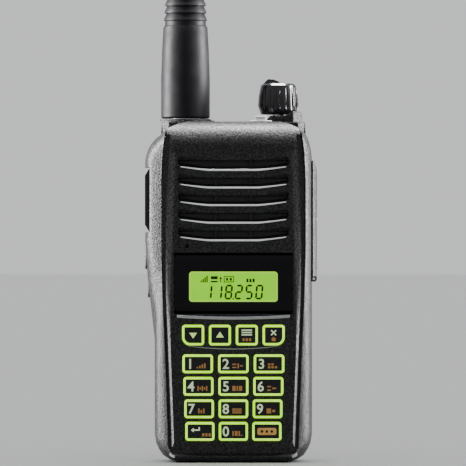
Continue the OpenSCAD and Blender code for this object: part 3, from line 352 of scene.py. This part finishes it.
def woven(name, colour):
    """Dust cloth behind the slots."""
    t = Tree(name)
    weave = []
    for direction in ("X", "Z"):
        w = t.nodes.new("ShaderNodeTexWave")
        w.bands_direction = direction
        w.inputs["Scale"].default_value = 1.1
        w.inputs["Distortion"].default_value = 0.4
        t.links.new(t.mm, w.inputs["Vector"])
        weave.append(w.outputs["Fac"])
    height = t.maths("MAXIMUM", weave[0], weave[1])
    return t.set(colour=t.mix(height, tuple(c * 0.4 for c in colour), colour), rough=0.9,
                 sheen=0.3, normal=t.bump(height, 0.8, 0.05 * MM))


def lit(name, colour, deep, strength):
    """Translucent moulding lit from behind, in soft clouds of two tones."""
    t = Tree(name)
    cloud = t.ramp(t.noise(0.35, 2.0), [(0.3, 0.0), (0.75, 1.0)])
    tone = t.mix(cloud, colour, deep)
    fine = t.noise(3.0, 3.0)
    base = t.mix(0.75, tone, (0.0, 0.0, 0.0))
    return t.set(colour=base, rough=0.45, specular=0.2, glow=tone, glow_strength=strength,
                 normal=t.bump(fine, 0.1, 0.01 * MM))


def clear(name):
    """Thin clear acrylic with faint smears."""
    t = Tree(name)
    smear = t.ramp(t.noise(0.15, 3.0), [(0.35, 0.0), (0.75, 1.0)])
    return t.set(colour=(0.97, 0.99, 0.96), glass=1.0, ior=1.12,
                 rough=t.maths("ADD", 0.02, t.maths("MULTIPLY", smear, 0.05)))


MATERIALS = {}


def make_materials():
    black = (0.0055, 0.0055, 0.006)
    m = MATERIALS
    m["black_shell"] = moulded("black_shell", black, 0.40)
    m["chassis_shell"] = moulded("chassis_shell", (0.007, 0.007, 0.0075), 0.45, 2.1,
                                 round_edge=0.7)
    m["pack_shell"] = moulded("pack_shell", (0.006, 0.006, 0.0065), 0.52, 2.1, 0.07)
    m["window"] = glossy("window", (0.002, 0.002, 0.003), 0.06, 0.0, 0.5, 0.12)
    m["silver_trim"] = metal("silver_trim", (0.36, 0.36, 0.37), 0.34)
    # near-white metal for the slot lips: a painted highlight where the top light catches them
    m["slot_lip"] = metal("slot_lip", (0.96, 0.96, 0.97), 0.26)
    # pale grey for the keypad ridge: a painted highlight of the light along it
    m["crease_line"] = glossy("crease_line", (0.24, 0.24, 0.25), 0.3, 0.5)
    m["key_cap"] = moulded("key_cap", (0.003, 0.003, 0.0035), 0.42, 6.0, 0.01, 0.1)
    m["number_ink"] = lit("number_ink", (0.70, 0.86, 0.55), (0.60, 0.80, 0.42), 0.75)
    m["arrow_ink"] = lit("arrow_ink", (0.55, 0.86, 0.20), (0.62, 0.90, 0.25), 1.0)
    m["orange_ink"] = lit("orange_ink", (0.50, 0.26, 0.08), (0.42, 0.20, 0.05), 0.45)
    m["orange_badge"] = lit("orange_badge", (0.60, 0.36, 0.10), (0.52, 0.28, 0.06), 0.55)
    m["display_edge"] = lit("display_edge", (0.40, 0.80, 0.05), (0.45, 0.84, 0.07), 1.15)
    m["segment_ink"] = rubber("segment_ink", (0.004, 0.010, 0.002), 0.7, 3.0, 0.004)
    m["clear_pane"] = clear("clear_pane")
    m["key_light"] = lit("key_light", (0.38, 0.95, 0.0), (0.60, 1.0, 0.06), 1.7)
    m["side_rubber"] = rubber("side_rubber", (0.008, 0.008, 0.0085), 0.45)
    m["antenna_rubber"] = rubber("antenna_rubber", (0.005, 0.005, 0.006), 0.46, specular=0.14)
    m["knob_plastic"] = glossy("knob_plastic", (0.004, 0.004, 0.005), 0.16, 0.25, 0.6, 0.3)
    m["white_lens"] = lit("white_lens", (0.85, 0.86, 0.88), (0.95, 0.95, 0.95), 0.25)
    m["seal_rubber"] = rubber("seal_rubber", (0.03, 0.03, 0.033), 0.6)
    m["steel"] = metal("steel", (0.62, 0.63, 0.65), 0.26)
    m["contact_brass"] = metal("contact_brass", (0.78, 0.56, 0.22), 0.22)
    m["board_green"] = board("board_green", (0.01, 0.10, 0.035))
    m["cloth"] = woven("cloth", (0.02, 0.02, 0.022))
    m["cone_paper"] = rubber("cone_paper", (0.03, 0.028, 0.026), 0.8, 1.5, 0.08)
    m["display"] = lit("display", (0.20, 0.62, 0.0), (0.25, 0.70, 0.0), 1.35)
    m["light_guide"] = glossy("light_guide", (0.75, 0.75, 0.70), 0.3, 0.3)
    m["flex"] = glossy("flex", (0.55, 0.26, 0.05), 0.25, 0.4)
    m["cell_wrap"] = glossy("cell_wrap", (0.05, 0.12, 0.35), 0.3, 0.3)
    m["socket_plastic"] = moulded("socket_plastic", (0.02, 0.02, 0.022), 0.5)


def paint_cad():
    """Every CAD node takes the finish that its material slot names."""
    for part in frame["record"]["subparts"]:
        node = NODES[part["node"]]
        node.data.materials.clear()
        node.data.materials.append(MATERIALS[part["material_slot"]])


# ---------------------------------------------------------------- mesh helpers

def link(name, mesh, body, *materials):
    obj = bpy.data.objects.new(name, mesh)
    bpy.context.scene.collection.objects.link(obj)
    for m in materials:
        obj.data.materials.append(MATERIALS[m])
    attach(obj, body)
    return obj


def slot_of(node):
    return next(p["material_slot"] for p in frame["record"]["subparts"] if p["node"] == node)


def round_edges(obj, width, segments=2, angle=30):
    bevel = obj.modifiers.new("soft_edges", "BEVEL")
    bevel.width = width * MM
    bevel.segments = segments
    bevel.limit_method = "ANGLE"
    bevel.angle_limit = math.radians(angle)
    bevel.use_clamp_overlap = True
    bevel.miter_outer = "MITER_ARC"
    weigh_normals(obj)


def weigh_normals(obj):
    normals = obj.modifiers.new("weighted", "WEIGHTED_NORMAL")
    normals.weight = 60
    normals.keep_sharp = True


def refine(node, width=0.15, segments=2, angle=30, smooth=32, slot=None):
    """A finished copy of a CAD node: welded, flat faces merged, edges rounded, curves smooth."""
    bm = bmesh.new()
    bm.from_mesh(NODES[node].data)
    bmesh.ops.remove_doubles(bm, verts=bm.verts, dist=0.002 * MM)
    if width:
        bmesh.ops.dissolve_limit(bm, angle_limit=math.radians(0.6), verts=bm.verts,
                                 edges=bm.edges)
    for face in bm.faces:
        face.smooth = True
        face.material_index = 0
    for edge in bm.edges:
        if edge.is_manifold and edge.calc_face_angle(0) > math.radians(smooth):
            edge.smooth = False
    mesh = bpy.data.meshes.new(node + "_finish")
    bm.to_mesh(mesh)
    bm.free()
    obj = link(node + "_finish", mesh, BODY_OF[node], slot or slot_of(node))
    if width:
        round_edges(obj, width, segments, angle)
    else:
        weigh_normals(obj)
    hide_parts(node)
    return obj


def inset(points, d):
    """Moves a closed counter-clockwise outline inwards by d."""
    moved = []
    for i, p in enumerate(points):
        before, after = points[i - 1], points[(i + 1) % len(points)]
        e1, e2 = (p - before).normalized(), (after - p).normalized()
        n1, n2 = Vector((-e1.y, e1.x)), Vector((-e2.y, e2.x))
        middle = (n1 + n2).normalized()
        moved.append(p + middle * d / max(0.3, middle.dot(n1)))
    return moved


def shrink(points, factor):
    middle = sum(points, Vector((0, 0))) / len(points)
    return [middle + (p - middle) * factor for p in points]


def loft(name, rings, body, material, close=(False, True), edge=0.0):
    """Skins closed rings of (outline in X-Z, y) one after another."""
    bm = bmesh.new()
    rows = [[bm.verts.new((p.x, y, p.y)) for p in outline] for outline, y in rings]
    count = len(rows[0])
    for a, b in zip(rows, rows[1:]):
        for i in range(count):
            j = (i + 1) % count
            bm.faces.new((a[i], a[j], b[j], b[i]))
    if close[0]:
        bm.faces.new(rows[0])
    if close[1]:
        bm.faces.new(rows[-1])
    bmesh.ops.recalc_face_normals(bm, faces=bm.faces)
    for face in bm.faces:
        face.smooth = len(face.verts) == 4
    mesh = bpy.data.meshes.new(name)
    bm.to_mesh(mesh)
    bm.free()
    obj = link(name, mesh, body, material)
    if edge:
        round_edges(obj, edge)
    else:
        weigh_normals(obj)
    return obj


def rounded(w, h, r, steps=6, centre=(0, 0)):
    """Counter-clockwise rounded rectangle in metres from millimetres."""
    points = []
    for k, (sx, sz) in enumerate(((1, 1), (-1, 1), (-1, -1), (1, -1))):
        for i in range(steps + 1):
            a = math.radians(90 * k + 90 * i / steps)
            points.append(Vector((centre[0] + sx * (w / 2 - r) + r * math.cos(a),
                                  centre[1] + sz * (h / 2 - r) + r * math.sin(a))) * MM)
    return points


def plates(name, outlines, y_front, y_back, body, material, edge=0.0):
    """Thin flat plates with the given X-Z outlines (metres), as one piece."""
    bm = bmesh.new()
    for outline in outlines:
        front = [bm.verts.new((p[0], y_front, p[1])) for p in outline]
        rear = [bm.verts.new((p[0], y_back, p[1])) for p in outline]
        bm.faces.new(front)
        bm.faces.new(rear[::-1])
        for i in range(len(front)):
            j = (i + 1) % len(front)
            bm.faces.new((front[i], rear[i], rear[j], front[j]))
    bmesh.ops.recalc_face_normals(bm, faces=bm.faces)
    mesh = bpy.data.meshes.new(name)
    bm.to_mesh(mesh)
    bm.free()
    obj = link(name, mesh, body, material)
    if edge:
        round_edges(obj, edge, 1)
    return obj


def shift(outline, x, z):
    return [(p[0] * MM + x, p[1] * MM + z) for p in outline]


def glyph(name, text, height, x, z, y_front, depth, body, material, bold=0.02):
    """A number as a solid, from Blender's built-in font, centred on x, z."""
    curve = bpy.data.curves.new(name + "_curve", "FONT")
    curve.body = text
    curve.size = 1.0
    curve.extrude = 0.5
    curve.offset = bold
    curve.resolution_u = 4
    temp = bpy.data.objects.new(name + "_temp", curve)
    bpy.context.scene.collection.objects.link(temp)
    solid = temp.evaluated_get(bpy.context.evaluated_depsgraph_get())
    mesh = bpy.data.meshes.new_from_object(solid)
    bpy.data.objects.remove(temp)
    bpy.data.curves.remove(curve)
    xs = [v.co.x for v in mesh.vertices]
    ys = [v.co.y for v in mesh.vertices]
    scale = height / (max(ys) - min(ys))
    mid_x, mid_y = (max(xs) + min(xs)) / 2, (max(ys) + min(ys)) / 2
    for v in mesh.vertices:
        v.co = Vector((x + (v.co.x - mid_x) * scale, y_front + (0.5 - v.co.z) * depth,
                       z + (v.co.y - mid_y) * scale))
    mesh.materials.clear()
    mesh.name = name
    obj = link(name, mesh, body, material)
    return obj


def bead(name, path, radius, body, material, flat=0.6, sides=8):
    """A smooth ridge along a path of (x, y, z, width factor)."""
    bm = bmesh.new()
    rows = []
    for i, (x, y, z, w) in enumerate(path):
        row = []
        for k in range(sides):
            a = 2 * math.pi * k / sides
            row.append(bm.verts.new((x, y - radius * flat * w * math.sin(a),
                                     z + radius * w * math.cos(a))))
        rows.append(row)
    for a, b in zip(rows, rows[1:]):
        for k in range(sides):
            j = (k + 1) % sides
            bm.faces.new((a[k], a[j], b[j], b[k]))
    bm.faces.new(rows[0])
    bm.faces.new(rows[-1])
    bmesh.ops.recalc_face_normals(bm, faces=bm.faces)
    for face in bm.faces:
        face.smooth = len(face.verts) == 4
    mesh = bpy.data.meshes.new(name)
    bm.to_mesh(mesh)
    bm.free()
    obj = link(name, mesh, body, material)
    return obj


# ---------------------------------------------------------------- front panel

SLOTS = 5
SLOT_PITCH = 5.7 * MM
SLOT_SPAN, SLOT_FLAT, SLOT_RISE = 17.8, 9.0, 1.15
LIP_STEPS = 40
LIP_RADIUS = 0.38 * MM
CREASE_HALF = 15.8 * MM
CREASE_STEPS = 30


def slot_lip_highlights():
    """The lower edge of every speaker slot: a rolled lip whose ends turn up, coloured near-white as
    a painted highlight of the top light on it.
    """
    face_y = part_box("display_window")[0].y + 0.1 * MM
    last_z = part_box("speaker_mesh")[0].z - 0.4 * MM
    for i in range(SLOTS):
        path = []
        for k in range(LIP_STEPS + 1):
            x = SLOT_SPAN * (2 * k / LIP_STEPS - 1)
            over = max(0.0, abs(x) - SLOT_FLAT + 1.2) / (SLOT_SPAN - SLOT_FLAT + 1.2)
            rise = SLOT_RISE * (over ** 1.25)
            width = 1.0 - 0.45 * over - (0.35 if k in (0, LIP_STEPS) else 0)
            path.append((x * MM, face_y + 0.10 * MM,
                         last_z + i * SLOT_PITCH + (rise - 0.22) * MM, width))
        bead("slot_lip_%d" % (SLOTS - i), path, LIP_RADIUS, "radio", "slot_lip")


def keypad_crease():
    """A faint ridge that sags under the function keys, coloured pale grey as a painted highlight
    along it.
    """
    face_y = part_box("display_window")[0].y + 0.1 * MM
    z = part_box("key_up")[0].z - 0.85 * MM
    path = []
    for k in range(CREASE_STEPS + 1):
        t = 2 * k / CREASE_STEPS - 1
        path.append((CREASE_HALF * t, face_y + 0.03 * MM, z + 1.1 * MM * t * t,
                     1.0 - 0.8 * abs(t) ** 3))
    bead("keypad_crease", path, 0.16 * MM, "radio", "crease_line")


def front_panel():
    refine("front_case", 0, smooth=28)
    slot_lip_highlights()
    keypad_crease()


# ---------------------------------------------------------------- display

SEGMENTS = {
    "0": "abcdef", "1": "bc", "2": "abged", "3": "abgcd", "4": "fgbc",
    "5": "afgcd", "6": "afgedc", "7": "abc", "8": "abcdefg", "9": "abcdfg",
}
READING = "118.250"


def segment_bars(name, w, h, t):
    """Seven-segment bars of one digit, each a pointed bar; the origin is the lower left."""
    gap = 0.06
    across = lambda z: [(t * 0.5 + gap, z), (t + gap, z + t / 2), (w - t - gap, z + t / 2),
                        (w - t * 0.5 - gap, z), (w - t - gap, z - t / 2), (t + gap, z - t / 2)]
    up = lambda x, z0, z1: [(x, z0 + gap), (x + t / 2, z0 + t / 2 + gap),
                            (x + t / 2, z1 - t / 2 - gap), (x, z1 - gap),
                            (x - t / 2, z1 - t / 2 - gap), (x - t / 2, z0 + t / 2 + gap)]
    bars = {
        "a": across(h - t / 2), "g": across(h / 2), "d": across(t / 2),
        "f": up(t / 2, h / 2, h - t / 2), "b": up(w - t / 2, h / 2, h - t / 2),
        "e": up(t / 2, t / 2, h / 2), "c": up(w - t / 2, t / 2, h / 2),
    }
    return [bars[k] for k in SEGMENTS[name]]


BEZEL_BEVEL = 1.3            # height of the sloped bands of the window
LCD_EDGE_X, LCD_EDGE_Z = 2.6, 3.2    # the panel's margins hidden by the bezel
GLOW_DEPTH = 0.62 * MM       # the lit face behind the front of the window
DIGIT_W, DIGIT_H, STROKE, PITCH = 2.45, 4.8, 0.62, 3.3
LEAN = 0.09
STEPS = 6


def box(x, z, w, h):
    """Counter-clockwise corners of a bar, in millimetres."""
    return [(x, z), (x + w, z), (x + w, z + h), (x, z + h)]


def window_bezel(lo, hi, open_w, open_h, cz):
    """The gloss window: bevelled bands above and below, a rounded opening for the panel."""
    w, h = (hi.x - lo.x) / MM, (hi.z - lo.z) / MM
    z = (lo.z + hi.z) / 2 / MM
    front = lo.y
    flat_h = h - 2 * BEZEL_BEVEL
    rings = [
        (rounded(w, h, 0.35, STEPS, (0, z)), hi.y),
        (rounded(w, h, 0.35, STEPS, (0, z)), front + 0.85 * MM),
        (rounded(w, flat_h + 0.5, 0.35, STEPS, (0, z)), front + 0.16 * MM),
        (rounded(w - 0.1, flat_h, 0.35, STEPS, (0, z)), front + 0.03 * MM),
        (rounded(w - 0.5, flat_h - 0.5, 0.3, STEPS, (0, z)), front),
        (rounded(open_w + 0.3, open_h + 0.3, 1.1, STEPS, (0, cz)), front),
        (rounded(open_w, open_h, 1.0, STEPS, (0, cz)), front + 0.12 * MM),
        (rounded(open_w, open_h, 1.0, STEPS, (0, cz)), front + 0.75 * MM),
    ]
    bezel = loft("window_bezel", rings, "radio", "window", (False, False))
    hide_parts("display_window")


def lit_panel(front, open_w, open_h, cz):
    """The lit face, its paler rim and the clear pane over them."""
    glow_y = front + GLOW_DEPTH
    rim_y = glow_y - 0.05 * MM

    def ring(grow, r):
        return rounded(open_w + grow, open_h + grow, r, STEPS, (0, cz))

    loft("display_glass", [(ring(0.4, 1.1), front + 0.9 * MM), (ring(0.4, 1.1), glow_y)],
         "radio", "display")
    loft("display_rim", [(ring(0.1, 1.05), glow_y), (ring(0.1, 1.05), rim_y),
                         (ring(-0.8, 0.7), rim_y), (ring(-0.8, 0.7), glow_y)],
         "radio", "display_edge", (False, False))
    loft("display_pane", [(ring(-0.02, 1.0), front + 0.40 * MM),
                          (ring(-0.02, 1.0), front + 0.08 * MM)],
         "radio", "clear_pane", (True, True))


def reading_bars(base_z):
    """The bars of the number on the display."""
    bars = []
    x = -(6 * PITCH) / 2 + 0.35
    for letter in READING:
        if letter == ".":
            bars.append([(px + x - 0.62, pz + base_z) for px, pz in
                         ((0, 0), (0.46, 0), (0.50, 0.46), (0.04, 0.46))])
            continue
        for bar in segment_bars(letter, DIGIT_W, DIGIT_H, STROKE):
            bars.append([(px + LEAN * pz + x, pz + base_z) for px, pz in bar])
        x += PITCH
    return bars


def icon_bars(z):
    """Plain icons above the number: signal steps, two bars, an arrow, a box, three blocks."""
    bars = [box(-10.6 + 0.62 * i, z, 0.42, 0.6 + 0.5 * i) for i in range(4)]
    bars.append(box(-7.3, z, 2.2, 0.5))
    bars.append(box(-7.3, z + 1.0, 2.2, 1.0))
    bars.append([(-4.6 + px, z + pz) for px, pz in
                 ((0.35, 0), (0.65, 0), (0.65, 1.1), (1.0, 1.1), (0.5, 1.9), (0, 1.1),
                  (0.35, 1.1))])
    left, w, h, line = -3.1, 3.3, 2.0, 0.24
    bars.append(box(left, z, w, line))
    bars.append(box(left, z + h - line, w, line))
    bars.append(box(left, z + line, line, h - 2 * line))
    bars.append(box(left + w - line, z + line, line, h - 2 * line))
    bars += [box(left + x, z + 0.55, 0.7, 0.9) for x in (0.7, 1.9)]
    bars += [box(x, z, 0.7, 1.2) for x in (4.2, 5.2, 6.2)]
    return bars


def display():
    lo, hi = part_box("display_window")
    lcd_lo, lcd_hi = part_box("lcd_panel")
    cz = (lcd_lo.z + lcd_hi.z) / 2 / MM
    open_w = (lcd_hi.x - lcd_lo.x) / MM - LCD_EDGE_X
    open_h = (lcd_hi.z - lcd_lo.z) / MM - LCD_EDGE_Z
    window_bezel(lo, hi, open_w, open_h, cz)
    lit_panel(lo.y, open_w, open_h, cz)
    base_z = cz - open_h / 2 + 0.75
    bars = reading_bars(base_z) + icon_bars(base_z + DIGIT_H + 0.75)
    outlines = [[(px * MM, pz * MM) for px, pz in bar] for bar in bars]
    glow_y = lo.y + GLOW_DEPTH
    plates("display_segments", outlines, glow_y - 0.04 * MM, glow_y + 0.02 * MM, "radio",
           "segment_ink")


# ---------------------------------------------------------------- keys

KEY_RINGS = ((0.0, 2.85), (0.0, 0.30), (0.06, 0.12), (0.18, 0.02), (0.34, 0.0), (0.52, 0.02),
             (0.66, 0.10), (0.70, 0.34))
TRIANGLE = [(-1.25, 0.75), (1.25, 0.75), (0, -1.1)]
CROSS = [(-0.95, -0.65), (-0.65, -0.95), (0, -0.3), (0.65, -0.95), (0.95, -0.65), (0.3, 0),
         (0.95, 0.65), (0.65, 0.95), (0, 0.3), (-0.65, 0.95), (-0.95, 0.65), (-0.3, 0)]
RETURN = [(-1.5, 0.0), (-0.6, 0.75), (-0.6, 0.22), (0.95, 0.22), (0.95, 0.95), (1.4, 0.95),
          (1.4, -0.22), (-0.6, -0.22), (-0.6, -0.75)]
HOUSE = [(-0.62, -0.6), (0.62, -0.6), (0.62, 0.1), (0.9, 0.1), (0, 0.8), (-0.9, 0.1),
         (-0.62, 0.1)]
# small marks beside the digits: (offset, width, low, high)
MARKS = {
    "key_1": ((0.0, 0.5, 0, 0.5), (0.8, 0.5, 0, 0.9), (1.6, 0.5, 0, 1.3), (2.4, 0.5, 0, 1.6)),
    "key_2": ((0.0, 1.3, 1.1, 1.5), (0.0, 1.3, 0.1, 0.5), (1.7, 0.45, 0, 1.6),
              (2.5, 0.9, 0.6, 1.0)),
    "key_3": ((0.0, 0.8, 0, 0.7), (0.0, 0.8, 0.95, 1.6), (1.1, 0.8, 0, 0.7),
              (1.1, 0.8, 0.95, 1.6), (2.2, 0.8, 0, 0.7)),
    "key_4": ((0.0, 0.45, 0, 1.6), (0.7, 0.45, 0.4, 1.2), (1.4, 0.45, 0, 1.6),
              (2.1, 0.45, 0.4, 1.2), (2.8, 0.45, 0, 1.6)),
    "key_5": ((0.0, 1.1, 0, 1.6), (1.4, 0.45, 0, 1.6), (2.1, 1.1, 0, 1.6)),
    "key_6": ((0.0, 1.2, 0, 0.45), (0.0, 1.2, 1.15, 1.6), (1.6, 1.3, 0.55, 1.05)),
    "key_7": ((0.0, 0.5, 0, 1.6), (0.8, 0.5, 0, 1.1), (1.6, 0.5, 0, 1.6)),
    "key_8": ((0.0, 3.0, 0, 0.4), (0.0, 3.0, 0.6, 1.0), (0.0, 3.0, 1.2, 1.6)),
    "key_9": ((0.0, 1.5, 0, 1.6), (1.9, 0.9, 0.4, 1.2)),
    "key_0": ((0.0, 0.5, 0, 1.6), (0.8, 0.9, 0, 1.6), (2.0, 0.5, 0, 1.6), (2.8, 0.4, 0, 0.4)),
}


def key_outline(node):
    """The key's front outline from its CAD solid, counter-clockwise in X-Z."""
    mesh = NODES[node].data
    front = min(v.co.y for v in mesh.vertices)
    seen = {}
    for v in mesh.vertices:
        if v.co.y < front + 0.001 * MM:
            seen[(round(v.co.x, 6), round(v.co.z, 6))] = Vector((v.co.x, v.co.z))
    points = list(seen.values())
    lo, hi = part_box(node)
    middle = Vector(((lo.x + hi.x) / 2, (lo.z + hi.z) / 2))
    return sorted(points, key=lambda p: math.atan2((p - middle).y, (p - middle).x)), front


CAP_INSET = 0.72 * MM         # from the rim of a key to its dark cap
INK_FRONT, INK_BACK = 0.05 * MM, 0.10 * MM
NUMBER_HEIGHT = 3.25 * MM
NUMBER_X = -2.45 * MM
MARK_X, MARK_Z = -0.35, -1.45
BADGE = (6.2, 2.3, 0.6)      # width, height, corner radius
DOT = 0.9


def blocks(xs, z, w, h):
    """A row of equal blocks, in millimetres."""
    return [box(x, z, w, h) for x in xs]


def key(node):
    """A luminous frame that replaces the CAD key, its dark cap, and the marks on the cap."""
    body = BODY_OF[node]
    outline, front = key_outline(node)
    rings = [(inset(outline, d * MM) if d else outline, front + y * MM) for d, y in KEY_RINGS]
    glow = loft(node + "_frame", rings, body, "key_light")
    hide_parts(node)
    edge = inset(outline, CAP_INSET)
    cap = [(edge, front + 0.33 * MM), (shrink(edge, 0.992), front + 0.16 * MM),
           (shrink(edge, 0.96), front + 0.09 * MM), (shrink(edge, 0.90), front + 0.07 * MM)]
    loft(node + "_cap", cap, body, "key_cap")
    cx = (min(p.x for p in outline) + max(p.x for p in outline)) / 2
    cz = (min(p.y for p in outline) + max(p.y for p in outline)) / 2
    ink_y, ink_back = front + INK_FRONT, front + INK_BACK

    def mark(name, outlines, material, x=0.0, z=0.0):
        placed = [shift(o, cx + x * MM, cz + z * MM) for o in outlines]
        plates(node + name, placed, ink_y, ink_back, body, material)

    digit = node.rsplit("_", 1)[1]
    if digit.isdigit():
        glyph(node + "_number", digit, NUMBER_HEIGHT, cx + NUMBER_X, cz, ink_y, 0.05 * MM, body,
              "number_ink", 0.015)
        mark("_marks", [box(x, low, w, high - low) for x, w, low, high in MARKS[node]],
             "orange_ink", MARK_X, MARK_Z)
    elif node == "key_down":
        mark("_arrow", [TRIANGLE], "arrow_ink")
    elif node == "key_up":
        mark("_arrow", [[(x, -z) for x, z in TRIANGLE][::-1]], "arrow_ink")
    elif node == "key_memory":
        mark("_lines", [box(-1.7, z, 3.4, 0.42) for z in (0.2, 0.95, 1.7)], "number_ink",
             0.0, -0.3)
        mark("_marks", blocks((-1.4, -0.35, 0.7), -1.9, 0.7, 0.9), "orange_ink")
    elif node == "key_clear":
        mark("_cross", [CROSS], "number_ink", 0.0, 0.8)
        mark("_marks", [HOUSE], "orange_ink", 0.0, -1.35)
    elif node == "key_enter":
        mark("_arrow", [RETURN], "number_ink", -1.4, 0.45)
        mark("_marks", blocks((0.7, 1.75, 2.8), -1.6, 0.75, 1.0), "orange_ink")
    else:
        badge = [[tuple(p) for p in rounded(*BADGE, 4, (cx / MM, cz / MM))]]
        plates(node + "_badge", badge, ink_y, ink_back, body, "orange_badge")
        dots = [[tuple(p) for p in rounded(DOT, DOT, 0.44, 4, (cx / MM + x, cz / MM))]
                for x in (-1.6, 0, 1.6)]
        plates(node + "_dots", dots, front + 0.03 * MM, ink_back, body, "segment_ink")


def keys():
    for node in sorted(NODES):
        if node.startswith("key_"):
            key(node)


# ---------------------------------------------------------------- the rest

ROUNDED_NODES = (
    ("rear_chassis", 0.3), ("battery_case", 0.3), ("battery_cover", 0.0), ("volume_knob", 0.12),
    ("jack_cover", 0.3), ("ptt_button", 0.0), ("side_key_upper", 0.35), ("side_key_lower", 0.35),
    ("belt_clip", 0.35), ("clip_bracket", 0.25), ("trim_bar", 0.12), ("indicator_lens", 0.25),
    ("antenna_sheath", 0.0), ("antenna_gasket", 0.1),
)


def main():
    make_materials()
    make_camera()
    make_lights()
    make_stage()
    paint_cad()
    front_panel()
    display()
    keys()
    for node, width in ROUNDED_NODES:
        refine(node, width)


main()
